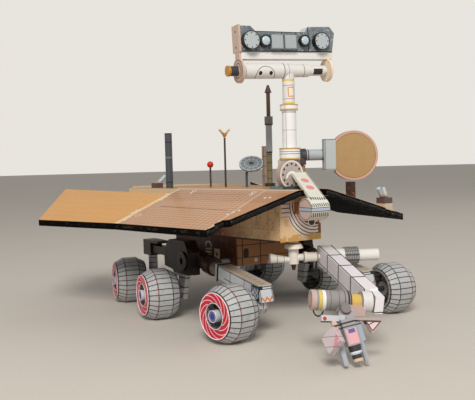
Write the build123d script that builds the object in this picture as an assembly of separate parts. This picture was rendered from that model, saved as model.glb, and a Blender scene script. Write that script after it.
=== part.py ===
from build123d import *
from math import atan2, cos, radians, sin, tan
import os

os.makedirs("parts", exist_ok=True)

# Paper scale model of a six-wheeled planetary rover, about one twelfth of the full-size machine.
# Millimetres. +Z is up, the front of the rover faces -Y, its starboard side is -X.
# The tables below measure y from the middle axle and z from a base line; at export everything is
# shifted by FRAME_SHIFT_Y and lowered by GROUND, the height of the table top above that base line.
FRAME_SHIFT_Y = 10.49
GROUND = 0.65
CARD = 0.9
RUNNING_GAP = 0.05
SIDE_GAP = 0.25
SIDES = {"starboard": -1, "port": 1}

# Overall sizes
MODEL_WIDTH = 177.0
MODEL_HEIGHT = 131.05

# Wheels
WHEEL_RADIUS = 11.5
WHEEL_WIDTH = 15.4
WHEEL_FACETS = 28
WHEEL_RIM_RADIUS = 9.2
WHEEL_BAND_HALF = 3.4
HUB_RECESS_RADIUS = 5.2
HUB_RECESS_DEPTH = 6.0
HUB_KNOB_RADIUS = 2.4
HUB_KNOB_REACH = 0.9
HUB_BOSS_RADIUS = 3.2
HUB_BOSS_INNER = -4.0
AXLE_RADIUS = 1.2
AXLE_END_GAP = 0.3
AXLE_Z = GROUND + WHEEL_RADIUS
TRACK = {"front": 43.5, "middle": 48.0, "rear": 42.8}
AXLE_Y = {"front": -56.0, "middle": 0.0, "rear": 46.2}
TOE = {
    "starboard": {"front": 9.0, "middle": -7.0, "rear": -13.0},
    "port": {"front": 4.0, "middle": -3.0, "rear": -6.0},
}

# Steering legs
STEER_X = {"front": 28.2, "rear": 29.0}
STEER_PIN_RADIUS = 1.5
STEER_PIN_LENGTH = 5.0
STEER_POST_RADIUS = 2.4
MOTOR_RADIUS = 3.0
MOTOR_INBOARD = 2.6
MOTOR_OUTBOARD = 4.2

# Rockers
ROCKER_X = 27.8
BEAM_WIDTH = 6.4
BEAM_HEIGHT = 6.8
HUB_Y = -12.0
HUB_Z = 25.4
HUB_AXLE_RADIUS = 1.5
HUB_AXLE_ROOT = 14.0
HUB_DISC_RADIUS = 4.3
HUB_DISC_SPAN = (0.5, 6.0)
HUB_NECK_RADIUS = 3.2
BEAM_START = 12.6
BEAM_COLLAR = 1.8
BEAM_COLLAR_RISE = 0.5
FRONT_HOUSING_BASE = 15.2
FRONT_HOUSING_BACK = 4.6
NOSE_TOP = 2.4
NOSE_FOOT = 4.2
WINDOW_DEPTH = 0.6
WINDOW_HALF = 2.3
WINDOW_MARGIN = 1.0
REAR_STUB = (5.0, 28.5)
REAR_STUB_HEIGHT = 6.0

# Bogies
BOGIE_INNER = 30.2
BOGIE_OUTER = 36.4
BOGIE_OUTLINE = [  # y, z of the side plate
    (-8.2, 20.0), (-8.4, 30.5), (-4.9, 35.8), (11.0, 35.6),
    (16.9, 30.7), (16.4, 22.4), (7.6, 21.4), (5.7, 18.6),
]
BOGIE_BACK = 17.0
BOGIE_RING = (-3.4, 26.5, 4.4, 1.6)  # y, z, outer and inner radius
BOGIE_RING_RISE = 1.0
LEG_THICK = 2.4
LEG_TOP = (-2.3, 20.5, 7.0)  # y, z and breadth where the leg leaves the plate
LEG_FOOT = (0.3, 8.6, 4.6)
REAR_HOUSING_BASE = 24.2
REAR_HOUSING_TOP = 31.0
REAR_HOUSING_HALF = 3.4
REAR_HOUSING_LENGTH = 9.0
REAR_ARM_BASE = 25.6
REAR_ARM_TOP = 29.6
REAR_ARM_HALF = 2.2
REAR_HOOD_TOP = 32.2
REAR_HOOD_FRONT = 33.0

# Deck
DECK_TOP = 59.4
DECK_THICK = 3.0
DECK_FRONT = -56.0
DECK_FRONT_HALF = 8.0
DECK_BACK = 67.5
DECK_BACK_HALF = 32.5
DECK_SLOT_LEFT = -5.3
DECK_SLOT_RIGHT = 6.6
DECK_SLOT_DEPTH = 6.5
TAIL_LENGTH = 25.5
TAIL_BACK_HALF = 19.0
TAIL_STEP = 1.5
WING_DROOP = 17.0
WING_ROOT_BACK = 23.7
WING_TIP_X = 53.0
WING_NOTCH = [(42.0, 0.2), (43.5, 3.0), (47.5, 3.0), (49.0, 0.3)]  # x, setback from the front edge
WING_TIP_SETBACK = 0.3
WING_OUTER = (65.6, 4.6)
WING_HINGE_SHARE = 0.84
FLAP_BACK = (61.7, 88.8, 59.5)
FLAP_TIP_Y = 48.1

# Body
BODY_TOP = DECK_TOP - DECK_THICK
BODY_BASE = 36.6
BODY_FRONT = -46.6
BODY_FRONT_HALF = 11.1
BODY_BACK = 60.0
BODY_BACK_HALF = 30.5
BELLY_BASE = 23.8
BELLY_FRONT = -20.0
BELLY_FRONT_HALF = 16.5
BELLY_BACK = 34.0
BELLY_BACK_HALF = 21.0

# Mast
MAST_Y = -39.5
MAST_RADIUS = 3.15
MAST_PLATE = (7.5, 8.5, 4.5, 5.5)  # reach to starboard, port, front and back of the mast
MAST_PLATE_THICK = 1.2
MAST_DISC_RADIUS = 6.4
MAST_DISC_RISE = 6.4
MAST_DISC_X = -2.4
MAST_DISC_THICK = 3.0
MAST_FOOT_HALF = 4.2
MAST_FOOT_BACK = 3.5
MAST_RING_BASE = DECK_TOP + 13.0
MAST_RING_TOP = DECK_TOP + 18.2
MAST_RING_RADIUS = 4.6
COLLAR_BASE = DECK_TOP + 34.8
COLLAR_TOP = DECK_TOP + 37.4
COLLAR_RADIUS = 3.9
NECK_RADIUS = 2.7
NECK_PIN_RADIUS = 1.5
NECK_PIN_LENGTH = 5.6
NECK_SOCKET_SPARE = 0.4

# Camera head, set out along the bar from the mast; starboard is negative
HEAD_LOBE_TOP = 19.2
HEAD_LOBE_ALONG = 21.0
HEAD_PAN = 7.0
HEAD_ROLL = 2.3
HEAD_TOP = HEAD_LOBE_TOP * cos(radians(HEAD_ROLL)) + HEAD_LOBE_ALONG * sin(radians(HEAD_ROLL))
TILT_Z = GROUND + MODEL_HEIGHT - HEAD_TOP
TILT_PIN_RADIUS = 1.5
TILT_TUBE_STEPS = [  # start, end, radius
    (-29.7, -28.6, 2.3),
    (-28.8, -25.0, 2.1),
    (-26.0, -22.0, TILT_PIN_RADIUS),
    (-22.6, -3.0, 3.4),
    (-3.2, 0.6, 3.05),
    (0.4, 9.9, 2.85),
    (9.7, 18.4, 2.3),
    (18.0, 21.2, TILT_PIN_RADIUS),
]
HEAD_BASE = 7.9
HEAD_DEPTH = 5.8
HEAD_BACKSET = 0.5
HEAD_OUTLINE = [  # along, above the tilt axis
    (-23.7, HEAD_BASE), (-23.7, 18.8), (-18.5, 18.8), (-16.4, 16.7), (8.2, 16.5),
    (9.8, 18.9), (HEAD_LOBE_ALONG, HEAD_LOBE_TOP), (23.5, 16.4), (21.9, HEAD_BASE),
]
HEAD_LENSES = [  # along, above the tilt axis, radius, reach forward
    (-19.6, 12.4, 3.9, 5.2),
    (-12.4, 12.3, 2.6, 4.4),
    (7.0, 12.6, 2.5, 4.4),
    (15.3, 12.4, 3.8, 5.2),
]
HEAD_LENS_ROOT = 1.6
HEAD_BOX_ALONG = (-6.8, -0.2)
HEAD_BOX_SIZE = (6.2, 6.4, 2.2)
HEAD_BOX_RISE = 12.0
HEAD_BOX_ROOT = 2.0
HEAD_RAIL = (-0.8, 46.0, 5.0, 3.0)  # middle, length, depth, height
HEAD_END_PLATE = (-24.1, 1.0, 11.4)  # along, thickness, height
HEAD_END_PLATE_SPARE = 0.8
HEAD_LUGS = [(-23.9, 5.2), (20.0, 5.0)]  # along, radius
HEAD_LUG_THICK = 1.2
HEAD_LUG_STEM = 4.0

# Strip and drum at the front edge
STRIP_TOP = (1.4, -43.6, DECK_TOP + 7.4)
STRIP_FOOT = (-1.4, -61.0, DECK_TOP - 4.2)
STRIP_HALF = 4.2
DRUM_RADIUS = 4.7
DRUM_Z = DECK_TOP - 8.2
DRUM_Y = -58.4
DRUM_SPAN = (-6.6, 3.0)
DRUM_BRACKET_HALF = 3.5
DRUM_BRACKET_HEIGHT = 5.0

# Antennas and pins on the deck
ROD_INSET = 3.4
ROD_Y = -1.0
ROD_STEPS = [  # base and top above the deck, radius
    (0.0, 1.6, 2.6),
    (0.0, 17.0, 1.4),
    (17.0, 31.0, 1.6),
    (31.0, 35.2, 2.1),
    (35.2, 47.2, 1.0),
]
ROD_TIP = (47.2, 51.0, 1.8, 0.5)
PANEL_X = (17.6, 22.0)
PANEL_Y = 7.8
PANEL_THICK = 1.2
PANEL_HEIGHT = 20.6
LOW_GAIN_Y = 38.6
LOW_GAIN_INSET = 5.2
LOW_GAIN_RADIUS = 1.9
LOW_GAIN_HEIGHT = 28.8
BALL_PIN = (-4.2, 25.2)
BALL_PIN_HEIGHT = 11.8
BALL_RADIUS = 1.7
PIN_RADIUS = 0.5
VANE_PIN = (-0.7, 15.7)
VANE_PIN_HEIGHT = 26.8
VANE_SIZE = (0.8, 1.2, 4.2)
VANE_LEAN = 45.0
VANE_KNOB_RADIUS = 1.1
SUNDIAL_POST = (4.0, 2.9)
SUNDIAL_POST_RADIUS = 0.6
SUNDIAL_KNEE_HEIGHT = 7.0
SUNDIAL_CENTRE = (6.4, 2.0)
SUNDIAL_HEIGHT = 11.6
SUNDIAL_RADIUS = 6.1
SUNDIAL_THICK = 0.9
SUNDIAL_FACING = (-0.35, -0.5, 0.8)

# Small two-tube boxes
PORT_BOX = (46.5, -50.3)
PORT_BOX_SIZE = (5.0, 5.4, 5.4)
PORT_TUBES = [(-1.2, -1.6, -3.9), (1.2, 1.6, -0.4)]  # foot along x, foot rise skew, lean along x
PORT_TUBE_RADIUS = 1.0
PORT_TUBE_RISE = 5.0
STARBOARD_BOX_Y = 49.4
STARBOARD_BOX_INSET = 5.2
STARBOARD_BOX_SIZE = (4.6, 4.8, 3.0)
STARBOARD_TUBE_RADIUS = 1.1
STARBOARD_TUBE_REACH = (4.6, -1.0, 4.4)

# High-gain dish
DISH_POST_X = 12.8
DISH_POST_Y = -31.0
DISH_POST_HEIGHT = 10.2
DISH_POST_RADIUS = 1.8
DISH_SOCKET_DEPTH = 4.0
DISH_PIN_RADIUS = 1.1
DISH_TURN = 25.0
DISH_AXIS_RISE = 15.0
DISH_HEAD_RADIUS = 2.2
DISH_HEAD_TOP = 3.0
DISH_ARM_RADIUS = 2.6
DISH_ARM_END = 10.3
DISH_PIN_REACH = 4.0
DISH_BRACKET_SIZE = (4.4, 14.5)
DISH_FLAT = 16.0
DISH_CENTRE = 24.95
DISH_DROP = 0.7
DISH_RADIUS = 11.7
DISH_THICK = 2.4
DISH_REST = (33.4, -41.6)
DISH_REST_WIDTH = 3.2
DISH_REST_GAP = 0.6

# Arm
SHOULDER = (-0.5, -41.3, BODY_BASE - 7.9)
ARM_TURN = 25.8
ARM_DROP = 8.3
UPPER_ARM_LENGTH = 60.2
UPPER_ARM_OFFSET = 14.8
UPPER_ARM_ROOT = (6.6, 8.2)
UPPER_ARM_END = (5.8, 6.8)
UPPER_ARM_SWAY = 3.2
UPPER_ARM_OVERRUN = 3.6
SHOULDER_CONE = (BODY_BASE - 3.6, BODY_BASE - 1.2, 4.4, 3.4)  # base, top, radii
SHOULDER_STEM_RADIUS = 2.6
SHOULDER_PIN_RADIUS = 1.0
SHOULDER_HEAD_RADIUS = 2.3
SHOULDER_HEAD_DROP = 2.8
SHOULDER_TIP_DROP = 5.6
SHOULDER_TIP_RADIUS = 1.3
SHOULDER_HORN = (-11.3, 2.3, -1.0, 1.1, 1.0)  # outer end and radius, inner end, radius and drop
SHOULDER_TUBES = [  # start and end to port of the shoulder, radius
    (0.0, 4.6, 1.6),
    (4.4, 6.0, 2.4),
    (5.8, 11.0, 2.1),
    (10.0, 17.6, 1.2),
]
UPPER_ARM_TUBES = [
    (17.4, 22.8, 3.2),
    (22.8, 29.2, 3.85),
    (29.2, 38.6, 2.65),
]
CHEEK_THICK = 3.2
CHEEK_HEIGHT = 6.4
CHEEK_START = 12.0
CHEEK_LENGTH = 15.4
ELBOW_ROLL = 4.8
ELBOW_PIN_RADIUS = 1.2
KNUCKLE_RADIUS = 3.8
KNUCKLE_HALF = 2.2
KNUCKLE_GAP = 0.5
ELBOW_TUBES = [  # start and end to port of the elbow, radius
    (-6.2, -2.0, 2.7),
    (-20.4, -6.0, 3.7),
]
WRIST_SIDE = -10.0
WRIST_FORWARD = 4.6
WRIST_DROP = 2.5
WRIST_PIN_RADIUS = 0.6
WRIST_RADIUS = 1.15
WRIST_HALF = 1.6
STRAP_WIDTH = 2.0
STRAP_HEIGHT = 4.0
LUG_RADIUS = 1.3
LUG_THICK = 1.2

# Turret, set out from the wrist: across to port, up, and out along the turret's own axis
TURRET_PITCH = 20.0
TURRET_BACK = 2.9
TURRET_SHAFT_RADIUS = 0.8
TURRET_SHAFT_LENGTH = 5.6
TURRET_HUB_RADIUS = 1.7
TURRET_HUB_LENGTH = 3.4
TURRET_PLATES = [  # across, up, out: low and high of each
    ((-8.4, -0.2), (-4.9, -2.5), (3.4, 4.6)),
    ((0.0, 12.7), (-4.0, -3.2), (3.2, 6.6)),
    ((-2.2, 3.2), (-4.0, -0.6), (3.2, 5.0)),
]
TRUSS_CORNERS = [(6.3, -3.8), (12.5, -3.8), (9.1, -8.2)]
TRUSS_SPAN = (3.6, 6.2)
GRINDER_TILT = 16.0
GRINDER_TOP = (-0.2, -3.2)
GRINDER_BOXES = [  # across, down and out: low and high of each
    ((-2.4, 2.4), (0.6, 9.7), (3.3, 7.4)),
    ((-5.2, 4.8), (1.4, 3.4), (3.5, 4.5)),
    ((-5.1, -3.5), (0.2, 15.6), (3.9, 5.4)),
    ((2.2, 4.8), (1.4, 9.0), (3.7, 5.2)),
    ((2.4, 3.8), (8.6, 16.2), (3.9, 5.2)),
]
BIT_STEPS = [(9.4, 12.4, 2.1), (12.2, 15.2, 1.7)]  # start and end below the grinder's top, radius
BIT_OUT = 5.5
SLAB_CORNER = (-8.6, -10.6, 4.5)
SLAB_EDGES = [(2.8, 4.0, 4.2), (1.7, -5.2, 3.4)]
SLAB_THICK = 2.6


def vec(point):
    return Vector(*point)


def cyl(start, end, radius):
    """Round bar between two points."""
    start, end = Vector(*start), Vector(*end)
    span = end - start
    return Plane(origin=start, z_dir=span) * Cylinder(
        radius, span.length, align=(Align.CENTER, Align.CENTER, Align.MIN))


def cone(start, end, r_start, r_end):
    """Round taper between two points."""
    start, end = Vector(*start), Vector(*end)
    span = end - start
    return Plane(origin=start, z_dir=span) * Cone(
        r_start, r_end, span.length, align=(Align.CENTER, Align.CENTER, Align.MIN))


def block(x, y, z):
    """Box from three low-high pairs."""
    return Pos((x[0] + x[1]) / 2, (y[0] + y[1]) / 2, (z[0] + z[1]) / 2) * Box(
        x[1] - x[0], y[1] - y[0], z[1] - z[0])


def bar(start, end, side_dir, width, height):
    """Square-cornered beam from start to end; width lies along side_dir."""
    start, end = Vector(*start), Vector(*end)
    span = end - start
    return Plane(origin=start, x_dir=Vector(*side_dir), z_dir=span) * Box(
        width, height, span.length, align=(Align.CENTER, Align.CENTER, Align.MIN))


def taper(start, end, side_dir, size_start, size_end):
    """Beam whose section changes from start to end."""
    start, end = Vector(*start), Vector(*end)
    span = end - start
    near = Plane(origin=start, x_dir=Vector(*side_dir), z_dir=span)
    far = Plane(origin=end, x_dir=Vector(*side_dir), z_dir=span)
    return loft([near * Rectangle(*size_start), far * Rectangle(*size_end)])


def slab(points, push):
    """Flat piece on an outline of points, pushed along a vector."""
    face = Face(Wire.make_polygon([Vector(*p) for p in points], close=True))
    return extrude(face, amount=Vector(*push).length, dir=Vector(*push).normalized())


def sheet(points, thick):
    """Flat card whose top face has these corners; the thickness goes straight down."""
    return slab(points, (0, 0, -thick))


def prism(points, low, high):
    """Upright block on a plan outline."""
    return slab([(x, y, low) for x, y in points], (0, 0, high - low))


def steps(place, table):
    """Row of round bars along one line; place turns a distance into a point."""
    pieces = [cyl(place(start), place(end), radius) for start, end, radius in table]
    return pieces[0] if len(pieces) == 1 else pieces[0] + pieces[1:]


def save(name, shape):
    """Write one node."""
    solids = (Pos(0, FRAME_SHIFT_Y, -GROUND) * shape).solids()
    node = solids[0] if len(solids) == 1 else Compound(children=list(solids))
    node.label = name
    export_step(node, "parts/" + name + ".step")


def mirror_x(points, side):
    return [(side * p[0], *p[1:]) for p in points]


# Deck: five cards. The wings droop from the fold lines along the sides of the centre card.
FOLD_RATE = (DECK_BACK_HALF - DECK_FRONT_HALF) / (DECK_BACK - DECK_FRONT)
DROOP_RATE = tan(radians(WING_DROOP)) * cos(atan2(FOLD_RATE, 1.0))


def fold_x(y):
    return DECK_FRONT_HALF + FOLD_RATE * (y - DECK_FRONT)


def wing_point(x, y):
    """Point of the drooping primary wing above plan position x, y (port side)."""
    return (x, y, DECK_TOP - DROOP_RATE * (x - fold_x(y)))


wing_root = (fold_x(WING_ROOT_BACK), WING_ROOT_BACK)
wing_hinge = tuple(o + WING_HINGE_SHARE * (r - o) for o, r in zip(WING_OUTER, wing_root))
primary_outline = [wing_point(fold_x(DECK_FRONT), DECK_FRONT)]
primary_outline += [wing_point(x, DECK_FRONT + setback) for x, setback in WING_NOTCH]
primary_outline += [
    wing_point(WING_TIP_X, DECK_FRONT + WING_TIP_SETBACK),
    wing_point(*WING_OUTER),
    wing_point(*wing_root),
]

flap_a = vec(wing_point(*WING_OUTER))
flap_b = vec(wing_point(*wing_hinge))
flap_c = vec(FLAP_BACK)
flap_normal = (flap_b - flap_a).cross(flap_c - flap_a)
flap_shift = flap_normal.X * (MODEL_WIDTH / 2 - flap_a.X) + flap_normal.Y * (FLAP_TIP_Y - flap_a.Y)
flap_tip_z = flap_a.Z - flap_shift / flap_normal.Z
flap_outline = [tuple(flap_a), tuple(flap_b), FLAP_BACK, (MODEL_WIDTH / 2, FLAP_TIP_Y, flap_tip_z)]

save("centre_deck", prism([
    (-DECK_FRONT_HALF, DECK_FRONT),
    (DECK_SLOT_LEFT, DECK_FRONT),
    (DECK_SLOT_LEFT, DECK_FRONT + DECK_SLOT_DEPTH),
    (DECK_SLOT_RIGHT, DECK_FRONT + DECK_SLOT_DEPTH),
    (DECK_SLOT_RIGHT, DECK_FRONT),
    (DECK_FRONT_HALF, DECK_FRONT),
    (DECK_BACK_HALF, DECK_BACK),
    (-DECK_BACK_HALF, DECK_BACK),
], BODY_TOP, DECK_TOP))

save("tail_panel", prism([
    (TAIL_STEP - DECK_BACK_HALF, DECK_BACK),
    (DECK_BACK_HALF - TAIL_STEP, DECK_BACK),
    (TAIL_BACK_HALF, DECK_BACK + TAIL_LENGTH),
    (-TAIL_BACK_HALF, DECK_BACK + TAIL_LENGTH),
], BODY_TOP, DECK_TOP))

wings = {}
for side_name, side in SIDES.items():
    wings[side_name] = sheet(mirror_x(primary_outline, side), DECK_THICK)
    save("wing_" + side_name, wings[side_name])
    save("outer_flap_" + side_name, sheet(mirror_x(flap_outline, side), DECK_THICK))

# Body: a tapering upper box under the deck and a narrower belly box.
body_box = prism([
    (-BODY_FRONT_HALF, BODY_FRONT),
    (BODY_FRONT_HALF, BODY_FRONT),
    (BODY_BACK_HALF, BODY_BACK),
    (-BODY_BACK_HALF, BODY_BACK),
], BODY_BASE, BODY_TOP)
for wing in wings.values():
    body_box -= wing
save("body_box", body_box)

belly_box = prism([
    (-BELLY_FRONT_HALF, BELLY_FRONT),
    (BELLY_FRONT_HALF, BELLY_FRONT),
    (BELLY_BACK_HALF, BELLY_BACK),
    (-BELLY_BACK_HALF, BELLY_BACK),
], BELLY_BASE, BODY_BASE)
save("belly_box", belly_box)

# Wheel: a faceted barrel of three bands, hollow inside, with an outer disc and a hub on the axle.
half = WHEEL_WIDTH / 2
recess_floor = half - HUB_RECESS_DEPTH
barrel_bands = [
    (half, WHEEL_RIM_RADIUS),
    (WHEEL_BAND_HALF, WHEEL_RADIUS),
    (-WHEEL_BAND_HALF, WHEEL_RADIUS),
    (-half, WHEEL_RIM_RADIUS),
]
hub_profile = [  # distance along the axle, outboard positive, and radius
    (half - CARD, WHEEL_RIM_RADIUS),
    (half - CARD, HUB_RECESS_RADIUS + CARD),
    (recess_floor - CARD, HUB_RECESS_RADIUS + CARD),
    (recess_floor - CARD, HUB_BOSS_RADIUS),
    (HUB_BOSS_INNER, HUB_BOSS_RADIUS),
    (HUB_BOSS_INNER, AXLE_RADIUS + RUNNING_GAP),
    (recess_floor, AXLE_RADIUS + RUNNING_GAP),
    (recess_floor, 0.0),
    (half + HUB_KNOB_REACH, 0.0),
    (half + HUB_KNOB_REACH, HUB_KNOB_RADIUS),
    (recess_floor + CARD, HUB_KNOB_RADIUS),
    (recess_floor + CARD, HUB_RECESS_RADIUS),
    (half, HUB_RECESS_RADIUS),
    (half, WHEEL_RIM_RADIUS - CARD / 2),
]
FACET_TURN = 180.0 / WHEEL_FACETS


def barrel(plane, shrink):
    """Faceted barrel, all radii smaller by shrink; plane.z_dir is the axle."""
    rings = []
    for along, radius in barrel_bands:
        ring = Plane(origin=plane.origin + plane.z_dir * along, x_dir=plane.x_dir, z_dir=plane.z_dir)
        polygon = RegularPolygon(radius - shrink, WHEEL_FACETS, major_radius=False, rotation=FACET_TURN)
        rings.append(ring * polygon)
    bands = [loft([a, b], ruled=True) for a, b in zip(rings, rings[1:])]
    return bands[0] + bands[1:]


def make_wheel(centre, direction):
    drum_plane = Plane(origin=centre, x_dir=(0, 0, 1), z_dir=direction)
    hollow = Plane(origin=centre + direction * (half - CARD), z_dir=direction * -1) * Cylinder(
        WHEEL_RADIUS, WHEEL_WIDTH, align=(Align.CENTER, Align.CENTER, Align.MIN))
    shell = barrel(drum_plane, 0.0) - (barrel(drum_plane, CARD) & hollow)
    shell -= cyl(centre + direction * (half - 2 * CARD), centre + direction * (half + 1), HUB_RECESS_RADIUS)
    hub_plane = Plane(origin=centre, x_dir=direction, z_dir=direction.cross(Vector(0, 0, 1)))
    corners = [hub_plane.from_local_coords(Vector(along, r, 0)) for along, r in hub_profile]
    hub = revolve(Face(Wire.make_polygon(corners, close=True)), Axis(centre, direction), 360)
    return shell + hub


def axle_direction(side, toe):
    """Unit vector of the wheel's axle, outboard; toe-in is positive."""
    return Vector(side * cos(radians(toe)), -sin(radians(toe)), 0)


def axle(centre, direction, from_distance):
    """Axle pin from the inboard side into the hub."""
    inner = centre + direction * from_distance
    return cyl(inner, centre + direction * (recess_floor - AXLE_END_GAP), AXLE_RADIUS)


def steer_bore(x, y, base):
    """Hole for a corner leg's pin, open at the base."""
    return cyl((x, y, base - 1), (x, y, base + STEER_PIN_LENGTH), STEER_PIN_RADIUS + RUNNING_GAP)


for side_name, side in SIDES.items():
    toe = TOE[side_name]
    front_y = AXLE_Y["front"]
    rear_y = AXLE_Y["rear"]

    # Rocker: pivot axle, disc, neck and the front beam with its slanted nose and steering bore.
    hub_point = Vector(side * ROCKER_X, HUB_Y, HUB_Z)
    beam_end = Vector(side * ROCKER_X, front_y, FRONT_HOUSING_BASE + BEAM_HEIGHT / 2)
    beam_dir = (beam_end - hub_point).normalized()
    beam_up = Vector(0, beam_dir.Z, -beam_dir.Y)
    disc_near, disc_far = [hub_point + beam_dir * reach for reach in HUB_DISC_SPAN]
    rocker = cyl(disc_near, disc_far, HUB_DISC_RADIUS)
    rocker += cyl(disc_far - beam_dir, hub_point + beam_dir * (BEAM_START + 1), HUB_NECK_RADIUS)
    root = hub_point + beam_dir * BEAM_START
    nose_side = side * ROCKER_X - BEAM_WIDTH / 2
    top = root + beam_up * (BEAM_HEIGHT / 2)
    foot = root - beam_up * (BEAM_HEIGHT / 2)
    nose = [
        (nose_side, top.Y, top.Z),
        (nose_side, front_y - NOSE_TOP, FRONT_HOUSING_BASE + BEAM_HEIGHT),
        (nose_side, front_y - NOSE_FOOT, FRONT_HOUSING_BASE),
        (nose_side, front_y + FRONT_HOUSING_BACK, FRONT_HOUSING_BASE),
        (nose_side, foot.Y, foot.Z),
    ]
    rocker += slab(nose, (BEAM_WIDTH, 0, 0))
    rocker += bar(root, root + beam_dir * BEAM_COLLAR, (1, 0, 0),
                  BEAM_WIDTH + 2 * BEAM_COLLAR_RISE, BEAM_HEIGHT + 2 * BEAM_COLLAR_RISE)
    rocker += cyl((side * HUB_AXLE_ROOT, HUB_Y, HUB_Z), hub_point, HUB_AXLE_RADIUS)
    stub_width = 2 * (BOGIE_INNER - ROCKER_X)
    rocker += bar(hub_point, (side * ROCKER_X, *REAR_STUB), (1, 0, 0), stub_width, REAR_STUB_HEIGHT)
    rocker -= steer_bore(side * STEER_X["front"], front_y, FRONT_HOUSING_BASE)
    outboard = side * (ROCKER_X + BEAM_WIDTH / 2)
    rocker -= block(
        sorted((outboard, outboard - side * WINDOW_DEPTH)),
        (front_y - WINDOW_HALF, front_y + WINDOW_HALF),
        (FRONT_HOUSING_BASE + WINDOW_MARGIN, FRONT_HOUSING_BASE + BEAM_HEIGHT - WINDOW_MARGIN))
    rocker -= belly_box
    save("rocker_" + side_name, rocker)

    # Bogie: side plate, ringed pivot, middle leg with its axle, rear arm, hood and steering housing.
    plate_x = sorted((side * BOGIE_INNER, side * BOGIE_OUTER))
    bogie = slab([(plate_x[0], y, z) for y, z in BOGIE_OUTLINE], (BOGIE_OUTER - BOGIE_INNER, 0, 0))
    ring_y, ring_z, ring_outer, ring_inner = BOGIE_RING
    ring_face = side * (BOGIE_OUTER + BOGIE_RING_RISE)
    bogie += cyl((side * BOGIE_INNER, ring_y, ring_z), (ring_face, ring_y, ring_z), ring_outer)
    bogie -= cyl((side * BOGIE_OUTER, ring_y, ring_z), (ring_face + side, ring_y, ring_z), ring_inner)
    middle_dir = axle_direction(side, toe["middle"])
    middle_centre = Vector(side * TRACK["middle"], AXLE_Y["middle"], AXLE_Z)
    leg_x = side * (BOGIE_OUTER - LEG_THICK / 2)
    bogie += taper((leg_x, LEG_TOP[0], LEG_TOP[1]), (leg_x, LEG_FOOT[0], LEG_FOOT[1]), (1, 0, 0),
                   (LEG_THICK, LEG_TOP[2]), (LEG_THICK, LEG_FOOT[2]))
    bogie += axle(middle_centre, middle_dir, BOGIE_OUTER - TRACK["middle"] - 1.0)
    rear_x = side * STEER_X["rear"]
    housing_front = rear_y - REAR_HOUSING_LENGTH / 2
    housing_x = (rear_x - REAR_HOUSING_HALF, rear_x + REAR_HOUSING_HALF)
    bogie += block((rear_x - REAR_ARM_HALF, rear_x + REAR_ARM_HALF), (BOGIE_BACK - 2.0, housing_front + 1),
                   (REAR_ARM_BASE, REAR_ARM_TOP))
    bogie += block(housing_x, (housing_front, housing_front + REAR_HOUSING_LENGTH),
                   (REAR_HOUSING_BASE, REAR_HOOD_TOP))
    bogie += block(housing_x, (REAR_HOOD_FRONT, housing_front + 1), (REAR_HOUSING_TOP, REAR_HOOD_TOP))
    bogie -= steer_bore(rear_x, rear_y, REAR_HOUSING_BASE)
    save("bogie_" + side_name, bogie)

    # Corner legs: a pin up into the housing, a post and a motor with the axle.
    for corner, base in (("front", FRONT_HOUSING_BASE), ("rear", REAR_HOUSING_BASE)):
        direction = axle_direction(side, toe[corner])
        centre = Vector(side * TRACK[corner], AXLE_Y[corner], AXLE_Z)
        steer_x = side * STEER_X[corner]
        foot = Vector(steer_x, AXLE_Y[corner], AXLE_Z)
        pin_top = base + STEER_PIN_LENGTH - AXLE_END_GAP
        leg = cyl(foot, (foot.X, foot.Y, pin_top), STEER_PIN_RADIUS)
        leg += cyl(foot, (foot.X, foot.Y, base - SIDE_GAP), STEER_POST_RADIUS)
        inboard = -(TRACK[corner] - STEER_X[corner]) / cos(radians(toe[corner]))
        motor_end = centre + direction * (inboard + MOTOR_OUTBOARD)
        leg += cyl(centre + direction * (inboard - MOTOR_INBOARD), motor_end, MOTOR_RADIUS)
        leg += axle(centre, direction, inboard)
        save("steering_leg_" + corner + "_" + side_name, leg)

    for row in ("front", "middle", "rear"):
        centre = Vector(side * TRACK[row], AXLE_Y[row], AXLE_Z)
        save("wheel_" + row + "_" + side_name, make_wheel(centre, axle_direction(side, toe[row])))

# Mast: base plate, bracket disc, foot, ring, tube and collar; the deck's cards carry it.
plate_top = DECK_TOP + MAST_PLATE_THICK
disc_front = MAST_Y - MAST_PLATE[2] + 0.1
disc_z = DECK_TOP + MAST_DISC_RISE
mast_foot = block((-MAST_PLATE[0], MAST_PLATE[1]), (MAST_Y - MAST_PLATE[2], MAST_Y + MAST_PLATE[3]),
                  (DECK_TOP, plate_top))
disc_back = disc_front + MAST_DISC_THICK
disc = cyl((MAST_DISC_X, disc_front, disc_z), (MAST_DISC_X, disc_back, disc_z), MAST_DISC_RADIUS)
mast_foot += disc - block((-MAST_DISC_RADIUS, 2 * MAST_DISC_RADIUS), (disc_front, disc_back),
                          (BODY_TOP - MAST_DISC_RADIUS, DECK_TOP))
mast_foot += block((-MAST_FOOT_HALF, MAST_FOOT_HALF), (disc_back - 0.5, MAST_Y + MAST_FOOT_BACK),
                   (plate_top, MAST_RING_BASE))
save("mast_foot", mast_foot)

mast = cyl((0, MAST_Y, MAST_RING_BASE), (0, MAST_Y, MAST_RING_TOP), MAST_RING_RADIUS)
mast += cyl((0, MAST_Y, MAST_RING_TOP), (0, MAST_Y, COLLAR_BASE), MAST_RADIUS)
mast += cyl((0, MAST_Y, COLLAR_BASE), (0, MAST_Y, COLLAR_TOP), COLLAR_RADIUS)
mast -= cyl((0, MAST_Y, COLLAR_TOP - NECK_PIN_LENGTH - NECK_SOCKET_SPARE), (0, MAST_Y, COLLAR_TOP + 1),
            NECK_PIN_RADIUS + RUNNING_GAP)
save("mast_tube", mast)

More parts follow.
